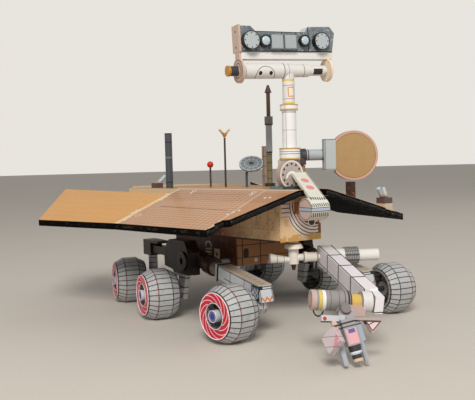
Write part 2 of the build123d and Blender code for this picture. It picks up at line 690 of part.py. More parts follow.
# Tilt tube and neck: they pan on the mast.
up = Vector(0, 0, 1)
head_level = Vector(cos(radians(HEAD_PAN)), -sin(radians(HEAD_PAN)), 0)
head_f = Vector(-sin(radians(HEAD_PAN)), -cos(radians(HEAD_PAN)), 0)
head_x = head_level * cos(radians(HEAD_ROLL)) + up * sin(radians(HEAD_ROLL))
head_up = up * cos(radians(HEAD_ROLL)) - head_level * sin(radians(HEAD_ROLL))
pivot = Vector(0, MAST_Y, TILT_Z)


def head(a, f, z):
    """Point of the camera head: along the bar, forward, above the tilt axis."""
    return pivot + head_x * a + head_f * f + head_up * z


neck = cyl((0, MAST_Y, COLLAR_TOP - NECK_PIN_LENGTH), (0, MAST_Y, COLLAR_TOP + 1), NECK_PIN_RADIUS)
neck += cyl((0, MAST_Y, COLLAR_TOP + SIDE_GAP), (0, MAST_Y, TILT_Z), NECK_RADIUS)
neck += steps(lambda a: head(a, 0, 0), TILT_TUBE_STEPS)
save("tilt_tube", neck)

# Camera bar with its end plates: it tilts about the tube.
head_back = -HEAD_BACKSET - HEAD_DEPTH / 2
camera_bar = slab([head(a, head_back, z) for a, z in HEAD_OUTLINE], head_f * HEAD_DEPTH)
rail_middle, rail_length, rail_depth, rail_height = HEAD_RAIL
rail_foot = head(rail_middle, -HEAD_BACKSET, HEAD_BASE - rail_height)
camera_bar += Plane(origin=rail_foot, x_dir=head_x, z_dir=head_up) * Box(
    rail_length, rail_depth, rail_height + 0.2, align=(Align.CENTER, Align.CENTER, Align.MIN))
for a, z, radius, reach in HEAD_LENSES:
    camera_bar += cyl(head(a, HEAD_LENS_ROOT, z), head(a, reach, z), radius)
for a in HEAD_BOX_ALONG:
    camera_bar += Plane(origin=head(a, HEAD_BOX_ROOT, HEAD_BOX_RISE), x_dir=head_x, z_dir=head_f) * Box(
        *HEAD_BOX_SIZE, align=(Align.CENTER, Align.CENTER, Align.MIN))
end_along, end_thick, end_height = HEAD_END_PLATE
camera_bar += Plane(origin=head(end_along, -HEAD_BACKSET, HEAD_BASE), x_dir=head_x, z_dir=head_up) * Box(
    end_thick, HEAD_DEPTH + HEAD_END_PLATE_SPARE, end_height, align=(Align.CENTER, Align.CENTER, Align.MIN))
for a, radius in HEAD_LUGS:
    lug = cyl(head(a - HEAD_LUG_THICK / 2, 0, 0), head(a + HEAD_LUG_THICK / 2, 0, 0), radius)
    lug += Plane(origin=head(a, 0, 0), x_dir=head_x, z_dir=head_up) * Box(
        HEAD_LUG_THICK, HEAD_LUG_STEM, HEAD_BASE + 0.5, align=(Align.CENTER, Align.CENTER, Align.MIN))
    lug -= cyl(head(a - 2, 0, 0), head(a + 2, 0, 0), TILT_PIN_RADIUS + RUNNING_GAP)
    camera_bar += lug
save("camera_bar", camera_bar)

# Strip and drum at the front edge of the deck.
strip = sheet([
    (STRIP_TOP[0] - STRIP_HALF, *STRIP_TOP[1:]),
    (STRIP_TOP[0] + STRIP_HALF, *STRIP_TOP[1:]),
    (STRIP_FOOT[0] + STRIP_HALF, *STRIP_FOOT[1:]),
    (STRIP_FOOT[0] - STRIP_HALF, *STRIP_FOOT[1:]),
], CARD)
strip -= mast_foot
save("deployment_strip", strip)
drum = cyl((DRUM_SPAN[0], DRUM_Y, DRUM_Z), (DRUM_SPAN[1], DRUM_Y, DRUM_Z), DRUM_RADIUS)
drum += block((-DRUM_BRACKET_HALF, DRUM_BRACKET_HALF), (DRUM_Y, BODY_FRONT),
              (DRUM_Z - DRUM_BRACKET_HEIGHT / 2, DRUM_Z + DRUM_BRACKET_HEIGHT / 2))
drum -= body_box
drum -= strip
save("deployment_drum", drum)

# Rod antenna, its back panel, and the low-gain antenna.
rod_x = fold_x(ROD_Y) - ROD_INSET
rod = steps(lambda z: (rod_x, ROD_Y, DECK_TOP + z), ROD_STEPS)
tip_base, tip_top, tip_wide, tip_narrow = ROD_TIP
rod += cone((rod_x, ROD_Y, DECK_TOP + tip_base), (rod_x, ROD_Y, DECK_TOP + tip_top), tip_wide, tip_narrow)
save("rod_antenna", rod)
save("upright_panel", block(PANEL_X, (PANEL_Y, PANEL_Y + PANEL_THICK), (DECK_TOP, DECK_TOP + PANEL_HEIGHT)))
low_gain_foot = Vector(LOW_GAIN_INSET - fold_x(LOW_GAIN_Y), LOW_GAIN_Y, DECK_TOP)
save("low_gain_antenna", cyl(low_gain_foot, low_gain_foot + Vector(0, 0, LOW_GAIN_HEIGHT), LOW_GAIN_RADIUS))

# Three pins on the deck.
ball_pin = cyl((*BALL_PIN, DECK_TOP), (*BALL_PIN, DECK_TOP + BALL_PIN_HEIGHT), PIN_RADIUS)
ball_pin += Pos(*BALL_PIN, DECK_TOP + BALL_PIN_HEIGHT) * Sphere(BALL_RADIUS)
save("ball_pin", ball_pin)
vane_pin = cyl((*VANE_PIN, DECK_TOP), (*VANE_PIN, DECK_TOP + VANE_PIN_HEIGHT), PIN_RADIUS)
for lean in (-VANE_LEAN, VANE_LEAN):
    vane_pin += Pos(*VANE_PIN, DECK_TOP + VANE_PIN_HEIGHT - 0.2) * Rot(0, lean, 0) * Box(
        *VANE_SIZE, align=(Align.CENTER, Align.CENTER, Align.MIN))
vane_pin += Pos(*VANE_PIN, DECK_TOP + VANE_PIN_HEIGHT) * Sphere(VANE_KNOB_RADIUS)
save("vane_pin", vane_pin)
knee = Vector(*SUNDIAL_POST, DECK_TOP + SUNDIAL_KNEE_HEIGHT)
dial = Vector(*SUNDIAL_CENTRE, DECK_TOP + SUNDIAL_HEIGHT)
dial_dir = Vector(*SUNDIAL_FACING).normalized()
sundial = cyl((*SUNDIAL_POST, DECK_TOP), knee + up * SUNDIAL_POST_RADIUS, SUNDIAL_POST_RADIUS)
sundial += cyl(knee, dial, SUNDIAL_POST_RADIUS)
sundial += cyl(dial - dial_dir * (SUNDIAL_THICK / 2), dial + dial_dir * (SUNDIAL_THICK / 2), SUNDIAL_RADIUS)
save("sundial", sundial)

# Two-tube boxes: one on the port wing's leading edge, one at the back of the starboard side.
box_x, box_y = PORT_BOX
box_floor = wing_point(box_x, box_y)[2]
tube_box = block((box_x - PORT_BOX_SIZE[0] / 2, box_x + PORT_BOX_SIZE[0] / 2),
                 (box_y - PORT_BOX_SIZE[1] / 2, box_y + PORT_BOX_SIZE[1] / 2),
                 (box_floor - 1.0, box_floor + PORT_BOX_SIZE[2]))
for foot_x, head_y, lean_x in PORT_TUBES:
    foot = Vector(box_x + foot_x, box_y, box_floor + PORT_BOX_SIZE[2] - 0.4)
    tube_box += cyl(foot, foot + Vector(lean_x, head_y, PORT_TUBE_RISE), PORT_TUBE_RADIUS)
tube_box -= wings["port"]
save("tube_box_port", tube_box)
box_x, box_y = STARBOARD_BOX_INSET - fold_x(STARBOARD_BOX_Y), STARBOARD_BOX_Y
tube_box = block((box_x - STARBOARD_BOX_SIZE[0] / 2, box_x + STARBOARD_BOX_SIZE[0] / 2),
                 (box_y - STARBOARD_BOX_SIZE[1] / 2, box_y + STARBOARD_BOX_SIZE[1] / 2),
                 (DECK_TOP, DECK_TOP + STARBOARD_BOX_SIZE[2]))
foot = Vector(box_x, box_y, DECK_TOP + STARBOARD_BOX_SIZE[2] - STARBOARD_TUBE_RADIUS)
tube_box += cyl(foot, foot + Vector(*STARBOARD_TUBE_REACH), STARBOARD_TUBE_RADIUS)
save("tube_box_starboard", tube_box)

# High-gain dish: post and gimbal beside the mast, arm, bracket and dish; a rest on the wing below.
dish_e = Vector(cos(radians(DISH_TURN)), -sin(radians(DISH_TURN)), 0)
dish_f = Vector(-sin(radians(DISH_TURN)), -cos(radians(DISH_TURN)), 0)
dish_pivot = Vector(DISH_POST_X, DISH_POST_Y, DECK_TOP + DISH_AXIS_RISE)
post_top = DISH_POST_HEIGHT - DISH_AXIS_RISE


def dish_point(a, f, z):
    """Point of the dish: along its arm, toward its face, above its axis."""
    return dish_pivot + dish_e * a + dish_f * f + up * z


post = cyl(dish_point(0, 0, -DISH_AXIS_RISE), dish_point(0, 0, post_top), DISH_POST_RADIUS)
post -= cyl(dish_point(0, 0, post_top - DISH_SOCKET_DEPTH), dish_point(0, 0, post_top + 1),
            DISH_PIN_RADIUS + RUNNING_GAP)
save("dish_post", post)
gimbal = cyl(dish_point(0, 0, post_top - DISH_SOCKET_DEPTH + AXLE_END_GAP), dish_pivot, DISH_PIN_RADIUS)
gimbal += cyl(dish_point(0, 0, post_top + SIDE_GAP), dish_point(0, 0, DISH_HEAD_TOP), DISH_HEAD_RADIUS)
gimbal += cyl(dish_pivot, dish_point(DISH_ARM_END, 0, 0), DISH_ARM_RADIUS)
gimbal += cyl(dish_pivot, dish_point(DISH_ARM_END + DISH_PIN_REACH, 0, 0), DISH_PIN_RADIUS)
save("dish_gimbal", gimbal)
bracket_start = DISH_ARM_END + SIDE_GAP
dish_bracket = Plane(origin=dish_point(bracket_start, 0, 0), x_dir=dish_f, z_dir=dish_e) * Box(
    *DISH_BRACKET_SIZE, DISH_FLAT - bracket_start, align=(Align.CENTER, Align.CENTER, Align.MIN))
bore_end = DISH_ARM_END + DISH_PIN_REACH + AXLE_END_GAP
dish_bracket -= cyl(dish_point(bracket_start - 1, 0, 0), dish_point(bore_end, 0, 0),
                    DISH_PIN_RADIUS + RUNNING_GAP)
save("dish_bracket", dish_bracket)
dish_faces = [dish_point(DISH_CENTRE, share * DISH_THICK, -DISH_DROP) for share in (-0.5, 0.5)]
dish = cyl(*dish_faces, DISH_RADIUS)
dish -= Plane(origin=dish_point(DISH_FLAT, 0, 0), x_dir=dish_f, z_dir=dish_e * -1) * Box(
    4 * DISH_THICK, 4 * DISH_RADIUS, DISH_RADIUS, align=(Align.CENTER, Align.CENTER, Align.MIN))
save("dish", dish)
rest_x, rest_y = DISH_REST
rest_top = DECK_TOP + DISH_AXIS_RISE - DISH_DROP - DISH_RADIUS - DISH_REST_GAP
rest = block((rest_x - DISH_REST_WIDTH / 2, rest_x + DISH_REST_WIDTH / 2),
             (rest_y - DISH_REST_WIDTH / 2, rest_y + DISH_REST_WIDTH / 2),
             (wing_point(rest_x, rest_y)[2] - 1.0, rest_top))
rest -= wings["port"]
save("dish_rest", rest)

# Arm, set out from the shoulder: to port, forward and up in the turned frame.
arm_e = Vector(cos(radians(ARM_TURN)), -sin(radians(ARM_TURN)), 0)
arm_f = Vector(-sin(radians(ARM_TURN)), -cos(radians(ARM_TURN)), 0)
shoulder = Vector(*SHOULDER)


def arm(lateral, forward=0.0, rise=0.0):
    return shoulder + arm_e * lateral + arm_f * forward + up * rise


def over_shoulder(z):
    return Vector(SHOULDER[0], SHOULDER[1], z)


cone_base, cone_top, cone_wide, cone_narrow = SHOULDER_CONE
dome = cone(over_shoulder(cone_base), over_shoulder(cone_top), cone_wide, cone_narrow)
dome += cyl(over_shoulder(cone_top - 0.4), over_shoulder(BODY_BASE), SHOULDER_STEM_RADIUS)
dome -= cyl(over_shoulder(cone_base - 1), over_shoulder(cone_top), SHOULDER_PIN_RADIUS + RUNNING_GAP)
save("shoulder_mount", dome)
shoulder_link = cyl(shoulder, over_shoulder(cone_top - AXLE_END_GAP), SHOULDER_PIN_RADIUS)
head_top = over_shoulder(cone_base - SIDE_GAP)
shoulder_link += cyl(arm(0, 0, -SHOULDER_HEAD_DROP), head_top, SHOULDER_HEAD_RADIUS)
shoulder_link += cone(arm(0, 0, -SHOULDER_TIP_DROP), arm(0, 0, -SHOULDER_HEAD_DROP),
                      SHOULDER_TIP_RADIUS / 2, SHOULDER_TIP_RADIUS)
shoulder_link += steps(arm, SHOULDER_TUBES)
horn_end, horn_wide, horn_root, horn_narrow, horn_drop = SHOULDER_HORN
shoulder_link += cone(arm(horn_end), arm(horn_root, 0, -horn_drop), horn_wide, horn_narrow)
save("shoulder_link", shoulder_link)

drop = radians(ARM_DROP)
link_dir = arm_f * cos(drop) - up * sin(drop)
root = arm(UPPER_ARM_OFFSET)
elbow = root + link_dir * UPPER_ARM_LENGTH
elbow_e = arm_e * cos(radians(ELBOW_ROLL)) - up * sin(radians(ELBOW_ROLL))
elbow_u = up * cos(radians(ELBOW_ROLL)) + arm_e * sin(radians(ELBOW_ROLL))


def elbow_point(lateral, forward=0.0, rise=0.0):
    return elbow + elbow_e * lateral + arm_f * forward + elbow_u * rise


arm_tip = root + link_dir * (UPPER_ARM_LENGTH - KNUCKLE_RADIUS - KNUCKLE_GAP)
upper_arm = taper(root - link_dir * UPPER_ARM_OVERRUN, arm_tip + arm_e * UPPER_ARM_SWAY, arm_e,
                  UPPER_ARM_ROOT, UPPER_ARM_END)
cheek_foot = elbow + elbow_e * (KNUCKLE_HALF + SIDE_GAP + CHEEK_THICK / 2) - link_dir * CHEEK_START
upper_arm += bar(cheek_foot, cheek_foot + link_dir * CHEEK_LENGTH, elbow_e, CHEEK_THICK, CHEEK_HEIGHT)
upper_arm -= cyl(elbow_point(-2 * KNUCKLE_HALF), elbow_point(KNUCKLE_HALF + SIDE_GAP),
                 KNUCKLE_RADIUS + KNUCKLE_GAP)
upper_arm += steps(arm, UPPER_ARM_TUBES)
upper_arm += cyl(elbow_point(AXLE_END_GAP - KNUCKLE_HALF), elbow_point(KNUCKLE_HALF + CHEEK_THICK),
                 ELBOW_PIN_RADIUS)
shaft = SHOULDER_TUBES[-1]
upper_arm -= cyl(arm(shaft[0]), arm(shaft[1] + AXLE_END_GAP), shaft[2] + RUNNING_GAP)
save("upper_arm", upper_arm)

wrist = elbow_point(WRIST_SIDE, WRIST_FORWARD, -WRIST_DROP)
strap_end = wrist + elbow_e * (WRIST_HALF + SIDE_GAP + LUG_THICK)
forearm = cyl(elbow_point(-KNUCKLE_HALF), elbow_point(KNUCKLE_HALF), KNUCKLE_RADIUS)
forearm += steps(elbow_point, ELBOW_TUBES)
strap_foot = elbow_point(-KNUCKLE_HALF / 2, WRIST_FORWARD / 2, -WRIST_DROP)
forearm += bar(strap_foot, strap_end - elbow_e * (LUG_THICK / 2), arm_f, STRAP_WIDTH, STRAP_HEIGHT)
forearm += cyl(strap_end - elbow_e * LUG_THICK, strap_end, LUG_RADIUS)
forearm += cyl(wrist - elbow_e * WRIST_HALF, strap_end, WRIST_PIN_RADIUS)
forearm -= cyl(elbow_point(-KNUCKLE_HALF - RUNNING_GAP), elbow_point(KNUCKLE_HALF + 1),
               ELBOW_PIN_RADIUS + RUNNING_GAP)
save("forearm", forearm)

# Wrist and turret: the turret turns about its own axis, which points forward and up.
pitch = radians(TURRET_PITCH)
turret_f = arm_f * cos(pitch) + elbow_u * sin(pitch)
turret_u = elbow_u * cos(pitch) - arm_f * sin(pitch)


def turret_point(across, rise, out):
    return wrist + elbow_e * across + turret_u * rise + turret_f * out


wrist_block = cyl(turret_point(-WRIST_HALF, 0, 0), turret_point(WRIST_HALF, 0, 0), WRIST_RADIUS)
wrist_block += cyl(wrist, turret_point(0, 0, TURRET_BACK - SIDE_GAP), WRIST_RADIUS)
wrist_block += cyl(wrist, turret_point(0, 0, TURRET_SHAFT_LENGTH), TURRET_SHAFT_RADIUS)
wrist_block -= cyl(turret_point(-2 * WRIST_HALF, 0, 0), turret_point(2 * WRIST_HALF, 0, 0),
                   WRIST_PIN_RADIUS + RUNNING_GAP)
save("wrist", wrist_block)


def turret_slab(corners, out):
    """Piece of the turret on an outline across and up, between two distances out."""
    points = [turret_point(across, rise, out[0]) for across, rise in corners]
    return slab(points, turret_f * (out[1] - out[0]))


shaft_bore = cyl(wrist, turret_point(0, 0, TURRET_SHAFT_LENGTH + AXLE_END_GAP),
                 TURRET_SHAFT_RADIUS + RUNNING_GAP)
hub_end = turret_point(0, 0, TURRET_BACK + TURRET_HUB_LENGTH)
turret = cyl(turret_point(0, 0, TURRET_BACK), hub_end, TURRET_HUB_RADIUS)
for (left, right), (low, high), out in TURRET_PLATES:
    turret += turret_slab([(left, low), (right, low), (right, high), (left, high)], out)
turret += turret_slab(TRUSS_CORNERS, TRUSS_SPAN)
turret -= shaft_bore
save("turret", turret)

tilt = radians(GRINDER_TILT)


def grinder_point(across, down, out):
    """Point of the grinder: across it, down its length, out along the turret's axis."""
    a = GRINDER_TOP[0] + across * cos(tilt) + down * sin(tilt)
    return turret_point(a, GRINDER_TOP[1] + across * sin(tilt) - down * cos(tilt), out)


def grinder_box(across, down, out):
    corners = [(across[0], down[0]), (across[1], down[0]), (across[1], down[1]), (across[0], down[1])]
    return slab([grinder_point(a, d, out[0]) for a, d in corners], turret_f * (out[1] - out[0]))


grinder = steps(lambda d: grinder_point(0, d, BIT_OUT), BIT_STEPS)
for across, down, out in GRINDER_BOXES:
    grinder += grinder_box(across, down, out)
grinder -= turret
save("turret_grinder", grinder)

corner = turret_point(*SLAB_CORNER)
edge_a, edge_b = [elbow_e * x + turret_u * y + turret_f * z for x, y, z in SLAB_EDGES]
side_box = slab([corner, corner + edge_a, corner + edge_a + edge_b, corner + edge_b],
                edge_a.cross(edge_b).normalized() * SLAB_THICK)
side_box -= grinder
side_box -= turret
save("turret_side_box", side_box)
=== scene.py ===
import bmesh
import bpy
import numpy as np
from bpy.props import FloatProperty, FloatVectorProperty, PointerProperty
from mathutils import Matrix


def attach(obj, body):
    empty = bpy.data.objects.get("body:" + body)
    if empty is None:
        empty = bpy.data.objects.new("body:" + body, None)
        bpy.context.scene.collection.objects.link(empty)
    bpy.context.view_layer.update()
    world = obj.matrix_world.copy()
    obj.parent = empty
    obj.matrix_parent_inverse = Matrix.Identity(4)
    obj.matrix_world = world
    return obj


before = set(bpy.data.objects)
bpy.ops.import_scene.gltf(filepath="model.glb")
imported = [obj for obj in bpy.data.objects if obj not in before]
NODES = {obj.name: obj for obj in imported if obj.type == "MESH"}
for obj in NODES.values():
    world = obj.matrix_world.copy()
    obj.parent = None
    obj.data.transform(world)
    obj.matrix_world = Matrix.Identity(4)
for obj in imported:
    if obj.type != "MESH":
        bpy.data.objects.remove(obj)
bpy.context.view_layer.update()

bl_info = {
    "name": "Planetary rover paper model",
    "version": (1, 0, 0),
    "blender": (4, 5, 0),
    "location": "View3D > Sidebar > Rover",
    "description": "Printed card finishes and small details for a paper rover model",
    "category": "Object",
}

# Millimetres throughout, as in the part's own tables: +Z up, front toward -Y, y from the middle axle,
# z from a base line that lies GROUND below the floor.
SHIFT = 10.49
GROUND = 0.65
UP = np.array((0.0, 0.0, 1.0))
SIDES = {"starboard": -1, "port": 1}


def spot(x, y, z):
    """A place of the model, with y measured from the middle axle and z from the base line."""
    return np.array((x, y + SHIFT, z - GROUND), float)


def inked(colour):
    """A socket's colour, from such a colour or from a display tone."""
    return tone(*colour) if len(colour) == 3 else colour


def unit(vector):
    vector = np.asarray(vector, float)
    return vector / np.linalg.norm(vector)


def tone(red, green, blue):
    """A display tone from 0 to 255 as the linear colour that a socket holds."""
    share = np.array((red, green, blue)) / 255
    linear = np.where(share <= 0.04045, share / 12.92, ((share + 0.055) / 1.055) ** 2.4)
    return (*(float(c) for c in linear), 1.0)


# Frames of the printed pieces: an origin and its axes

DECK_TOP = 59.4
CARD_FACE = -0.12
CARD_BACK = -2.88
FRONT_Y = -56.0
FOLD_FRONT_X = 8.0
FOLD_SLOPE = 0.19838
FOLD = np.arctan2(24.5, 123.5)
DROOP = np.radians(17.0)
HEAD_PAN = np.radians(7.0)
HEAD_ROLL = np.radians(2.3)
MAST_Y = -39.5
PIVOT = spot(0, MAST_Y, 111.67)
HEAD_LEVEL = np.array((np.cos(HEAD_PAN), -np.sin(HEAD_PAN), 0))
HEAD_F = np.array((-np.sin(HEAD_PAN), -np.cos(HEAD_PAN), 0))
HEAD_X = HEAD_LEVEL * np.cos(HEAD_ROLL) + UP * np.sin(HEAD_ROLL)
HEAD_UP = UP * np.cos(HEAD_ROLL) - HEAD_LEVEL * np.sin(HEAD_ROLL)
DISH_TURN = np.radians(25.0)
DISH_PIVOT = spot(12.8, -31.0, 74.4)
DISH_E = np.array((np.cos(DISH_TURN), -np.sin(DISH_TURN), 0))
DISH_F = np.array((-np.sin(DISH_TURN), -np.cos(DISH_TURN), 0))
ARM_TURN = np.radians(25.8)
ARM_DROP = np.radians(8.3)
SHOULDER = spot(-0.5, -41.3, 28.7)
ARM_E = np.array((np.cos(ARM_TURN), -np.sin(ARM_TURN), 0))
ARM_F = np.array((-np.sin(ARM_TURN), -np.cos(ARM_TURN), 0))
LINK = ARM_F * np.cos(ARM_DROP) - UP * np.sin(ARM_DROP)
LINK_UP = ARM_F * np.sin(ARM_DROP) + UP * np.cos(ARM_DROP)
ELBOW_ROLL = np.radians(4.8)
LINK_SIDE = 14.8
ELBOW = SHOULDER + ARM_E * LINK_SIDE + LINK * 60.2
ELBOW_E = ARM_E * np.cos(ELBOW_ROLL) - UP * np.sin(ELBOW_ROLL)
ELBOW_U = UP * np.cos(ELBOW_ROLL) + ARM_E * np.sin(ELBOW_ROLL)
WRIST = ELBOW + ELBOW_E * -10.0 + ARM_F * 4.6 - ELBOW_U * 2.5
PITCH = np.radians(20.0)
TURRET_F = ARM_F * np.cos(PITCH) + ELBOW_U * np.sin(PITCH)
TURRET_U = ELBOW_U * np.cos(PITCH) - ARM_F * np.sin(PITCH)
TRACK = {"front": 43.5, "middle": 48.0, "rear": 42.8}
AXLE_Y = {"front": -56.0, "middle": 0.0, "rear": 46.2}
AXLE_Z = 12.15
TOE = {
    "starboard": {"front": 9.0, "middle": -7.0, "rear": -13.0},
    "port": {"front": 4.0, "middle": -3.0, "rear": -6.0},
}
STEER_X = {"front": 28.2, "rear": 29.0}
FACETS = 28


def wing_frame(side):
    """Frame of a drooping wing: out from the fold along the card, along the fold, and up off the card."""
    out = np.array((side * np.cos(FOLD) * np.cos(DROOP), -np.sin(FOLD) * np.cos(DROOP), -np.sin(DROOP)))
    off = np.array((side * np.cos(FOLD) * np.sin(DROOP), -np.sin(FOLD) * np.sin(DROOP), np.cos(DROOP)))
    return spot(side * FOLD_FRONT_X, FRONT_Y, DECK_TOP), out, np.cross(off, out) * side, off


def fold_x(y):
    """How far out the fold of a wing lies."""
    return FOLD_FRONT_X + FOLD_SLOPE * (y - FRONT_Y)


def wing_corner(x, y):
    """Point of the port wing above a place in plan."""
    return spot(x, y, DECK_TOP - np.tan(DROOP) * np.cos(FOLD) * (x - fold_x(y)))


def wheel_frame(side, row, toe):
    """Frame of a wheel: outboard along the axle, up, and to the right as seen from outboard."""
    turn = np.radians(toe)
    out = np.array((side * np.cos(turn), -np.sin(turn), 0))
    return spot(side * TRACK[row], AXLE_Y[row], AXLE_Z), out, UP, np.cross(-out, UP)


# Printed card materials

class Value:
    """One number that a material works out. The usual signs make its Math nodes."""

    def __init__(self, finish, socket):
        self.finish = finish
        self.socket = socket

    def __add__(self, other):
        return self.finish.math("ADD", self, other)

    __radd__ = __add__

    def __sub__(self, other):
        return self.finish.math("SUBTRACT", self, other)

    def __rsub__(self, other):
        return self.finish.math("SUBTRACT", other, self)

    def __mul__(self, other):
        return self.finish.math("MULTIPLY", self, other)

    __rmul__ = __mul__
    __and__ = __mul__

    def __truediv__(self, other):
        return self.finish.math("DIVIDE", self, other)

    def __lt__(self, other):
        return self.finish.math("LESS_THAN", self, other)

    def __gt__(self, other):
        return self.finish.math("GREATER_THAN", self, other)

    def __or__(self, other):
        return self.finish.math("MAXIMUM", self, other)

    def __neg__(self):
        return self * -1.0

    def __abs__(self):
        return self.finish.math("ABSOLUTE", self)

    def __invert__(self):
        return 1.0 - self


def add_node(tree, kind, settings, inputs):
    """Add a node: its settings first, then its inputs by name or number."""
    made = tree.nodes.new(kind)
    for key, value in settings.items():
        setattr(made, key, value)
    for key, value in inputs.items():
        value = value.socket if isinstance(value, Value) else value
        if isinstance(value, bpy.types.NodeSocket):
            tree.links.new(value, made.inputs[key])
        else:
            made.inputs[key].default_value = value
    return made


class Finish:
    """A printed card material: layers of ink over a card tone, under one Principled shader."""

    def __init__(self, name, card):
        self.material = bpy.data.materials.new(name)
        self.material.use_nodes = True
        self.tree = self.material.node_tree
        self.tree.nodes.clear()
        coordinates = self.node("ShaderNodeTexCoord", {}, {}).outputs["Object"]
        self.place = self.node(
            "ShaderNodeVectorMath", {"operation": "SCALE"}, {0: coordinates, "Scale": 1000.0}).outputs[0]
        self.colour = inked(card)
        self.fibre = self.noise(0.7, 3)

    def node(self, kind, settings, inputs):
        return add_node(self.tree, kind, settings, inputs)

    def math(self, operation, first, second=0.0):
        made = self.node("ShaderNodeMath", {"operation": operation}, {0: first, 1: second})
        return Value(self, made.outputs[0])

    def axis(self, origin, direction):
        """Millimetres from an origin along a direction."""
        reach = self.node("ShaderNodeVectorMath", {"operation": "DOT_PRODUCT"},
                          {0: self.place, 1: tuple(float(c) for c in direction)})
        return Value(self, reach.outputs["Value"]) - float(np.dot(origin, direction))

    def axes(self, origin, *directions):
        return [self.axis(origin, direction) for direction in directions]

    def plan(self, x=0.0, y=0.0, z=0.0, side=1):
        """Millimetres to port, or out to a side, to the back and up from a place of the model."""
        return self.axes(spot(x, y, z), (side, 0, 0), (0, 1, 0), UP)

    def above(self, level):
        return self.axis(spot(0, 0, level), UP)

    def noise(self, size, detail=2, stretch=(1.0, 1.0, 1.0)):
        """Soft noise from 0 to 1 whose lumps are about size millimetres across."""
        place = self.node("ShaderNodeVectorMath", {"operation": "MULTIPLY"}, {0: self.place, 1: stretch})
        made = self.node("ShaderNodeTexNoise", {}, {
            "Vector": place.outputs[0], "Scale": 1.0 / size, "Detail": float(detail), "Roughness": 0.55})
        return Value(self, made.outputs[0])

    def ink(self, mask, colour):
        """Print a colour where the mask is 1."""
        made = self.node("ShaderNodeMix", {"data_type": "RGBA"}, {0: mask, 6: self.colour, 7: inked(colour)})
        self.colour = made.outputs[2]
        return self

    def shade(self, value):
        """Darken or lighten the print by a number about 1."""
        made = self.node("ShaderNodeMix", {"data_type": "RGBA", "blend_type": "MULTIPLY"},
                         {0: 1.0, 6: self.colour, 7: value})
        self.colour = made.outputs[2]
        return self

    def close(self, rough=0.55, metal=0.0, coat=0.0, relief=None, depth=0.04, gloss=0.3):
        """Finish the material with the paper's fibre in tone, roughness and relief."""
        self.shade(0.9 + 0.2 * self.fibre)
        height = self.fibre * 0.4 if relief is None else relief + self.fibre * 0.3
        bump = self.node("ShaderNodeBump", {},
                         {"Strength": 1.0, "Distance": depth * 0.001, "Height": height})
        shader = self.node("ShaderNodeBsdfPrincipled", {}, {
            "Base Color": self.colour, "Roughness": rough - 0.1 + 0.2 * self.noise(6.0),
            "Metallic": metal, "Coat Weight": coat, "Coat Roughness": 0.25, "Specular IOR Level": gloss,
            "Normal": bump.outputs[0]})
        out = self.node("ShaderNodeOutputMaterial", {}, {})
        self.tree.links.new(shader.outputs[0], out.inputs[0])
        return self.material


def near(value, middle, half):
    """1 within half of the middle."""
    return abs(value - middle) < half


def bands(value, *spans):
    """1 in any of several bands, each a middle and half a width."""
    mask = near(value, *spans[0])
    for span in spans[1:]:
        mask = mask | near(value, *span)
    return mask


def rules(value, pitch, width):
    """Thin lines, one at each multiple of the pitch."""
    return value.finish.math("PINGPONG", value, pitch / 2) < width / 2


def within(u, v, u_span, v_span):
    """1 inside a rectangle."""
    return (near(u, sum(u_span) / 2, abs(u_span[1] - u_span[0]) / 2)
            & near(v, sum(v_span) / 2, abs(v_span[1] - v_span[0]) / 2))


def distance(u, v, cu=0.0, cv=0.0):
    return u.finish.math("SQRT", (u - cu) * (u - cu) + (v - cv) * (v - cv))


def ring(u, v, cu, cv, radius, width):
    return near(distance(u, v, cu, cv), radius, width / 2)


def disc(u, v, cu, cv, radius):
    return distance(u, v, cu, cv) < radius


def stroke(u, v, start, end, width):
    """1 on a straight line between two points."""
    start, end = np.array(start, float), np.array(end, float)
    run = unit(end - start)
    along = (u - float(start[0])) * float(run[0]) + (v - float(start[1])) * float(run[1])
    across = (v - float(start[1])) * float(run[0]) - (u - float(start[0])) * float(run[1])
    length = float(np.linalg.norm(end - start))
    return near(along, length / 2, length / 2) & (abs(across) < width / 2)


def dress(material, *names):
    """Give a material to CAD nodes."""
    for name in names:
        mesh = NODES[name].data
        mesh.materials.clear()
        mesh.materials.append(material)


def banded(node, foot, base, spans, rough=0.45, coat=0.0):
    """Print a node in level bands, each from and to a height above its foot."""
    card = Finish(node + "_card", base)
    z = card.above(foot)
    for low, high, colour in spans:
        card.ink(near(z, (low + high) / 2, (high - low) / 2), colour)
    dress(card.close(rough=rough, coat=coat), node)


# Surfaces

def shape(name, points, faces, material, closed=True):
    """An object in the scene from points in millimetres; a closed one gets its faces outward."""
    mesh = bpy.data.meshes.new(name)
    mesh.from_pydata((np.asarray(points) * 0.001).tolist(), [], faces)
    work = bmesh.new()
    work.from_mesh(mesh)
    bmesh.ops.remove_doubles(work, verts=work.verts, dist=1e-6)
    if closed:
        bmesh.ops.dissolve_degenerate(work, edges=work.edges, dist=1e-7)
        bmesh.ops.recalc_face_normals(work, faces=work.faces)
    work.to_mesh(mesh)
    work.free()
    mesh.polygons.foreach_set("use_smooth", [closed] * len(mesh.polygons))
    mesh.materials.append(material)
    thing = bpy.data.objects.new(name, mesh)
    bpy.context.scene.collection.objects.link(thing)
    return thing


def piece(name, points, faces, body, material, slot):
    """A closed mesh that rides on a body."""
    thing = shape(name, points, faces, material)
    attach(thing, body)


def grid_faces(rows, columns, first=0, wrap=False):
    """Quads between the rows of a grid whose columns close round; wrap closes the rows too."""
    index = first + np.arange(rows * columns).reshape(rows, columns)
    near_rows = index if wrap else index[:-1]
    far_rows = np.roll(index, -1, 0) if wrap else index[1:]
    quads = np.stack([near_rows, far_rows, np.roll(far_rows, -1, 1), np.roll(near_rows, -1, 1)], -1)
    return quads.reshape(-1, 4).tolist()


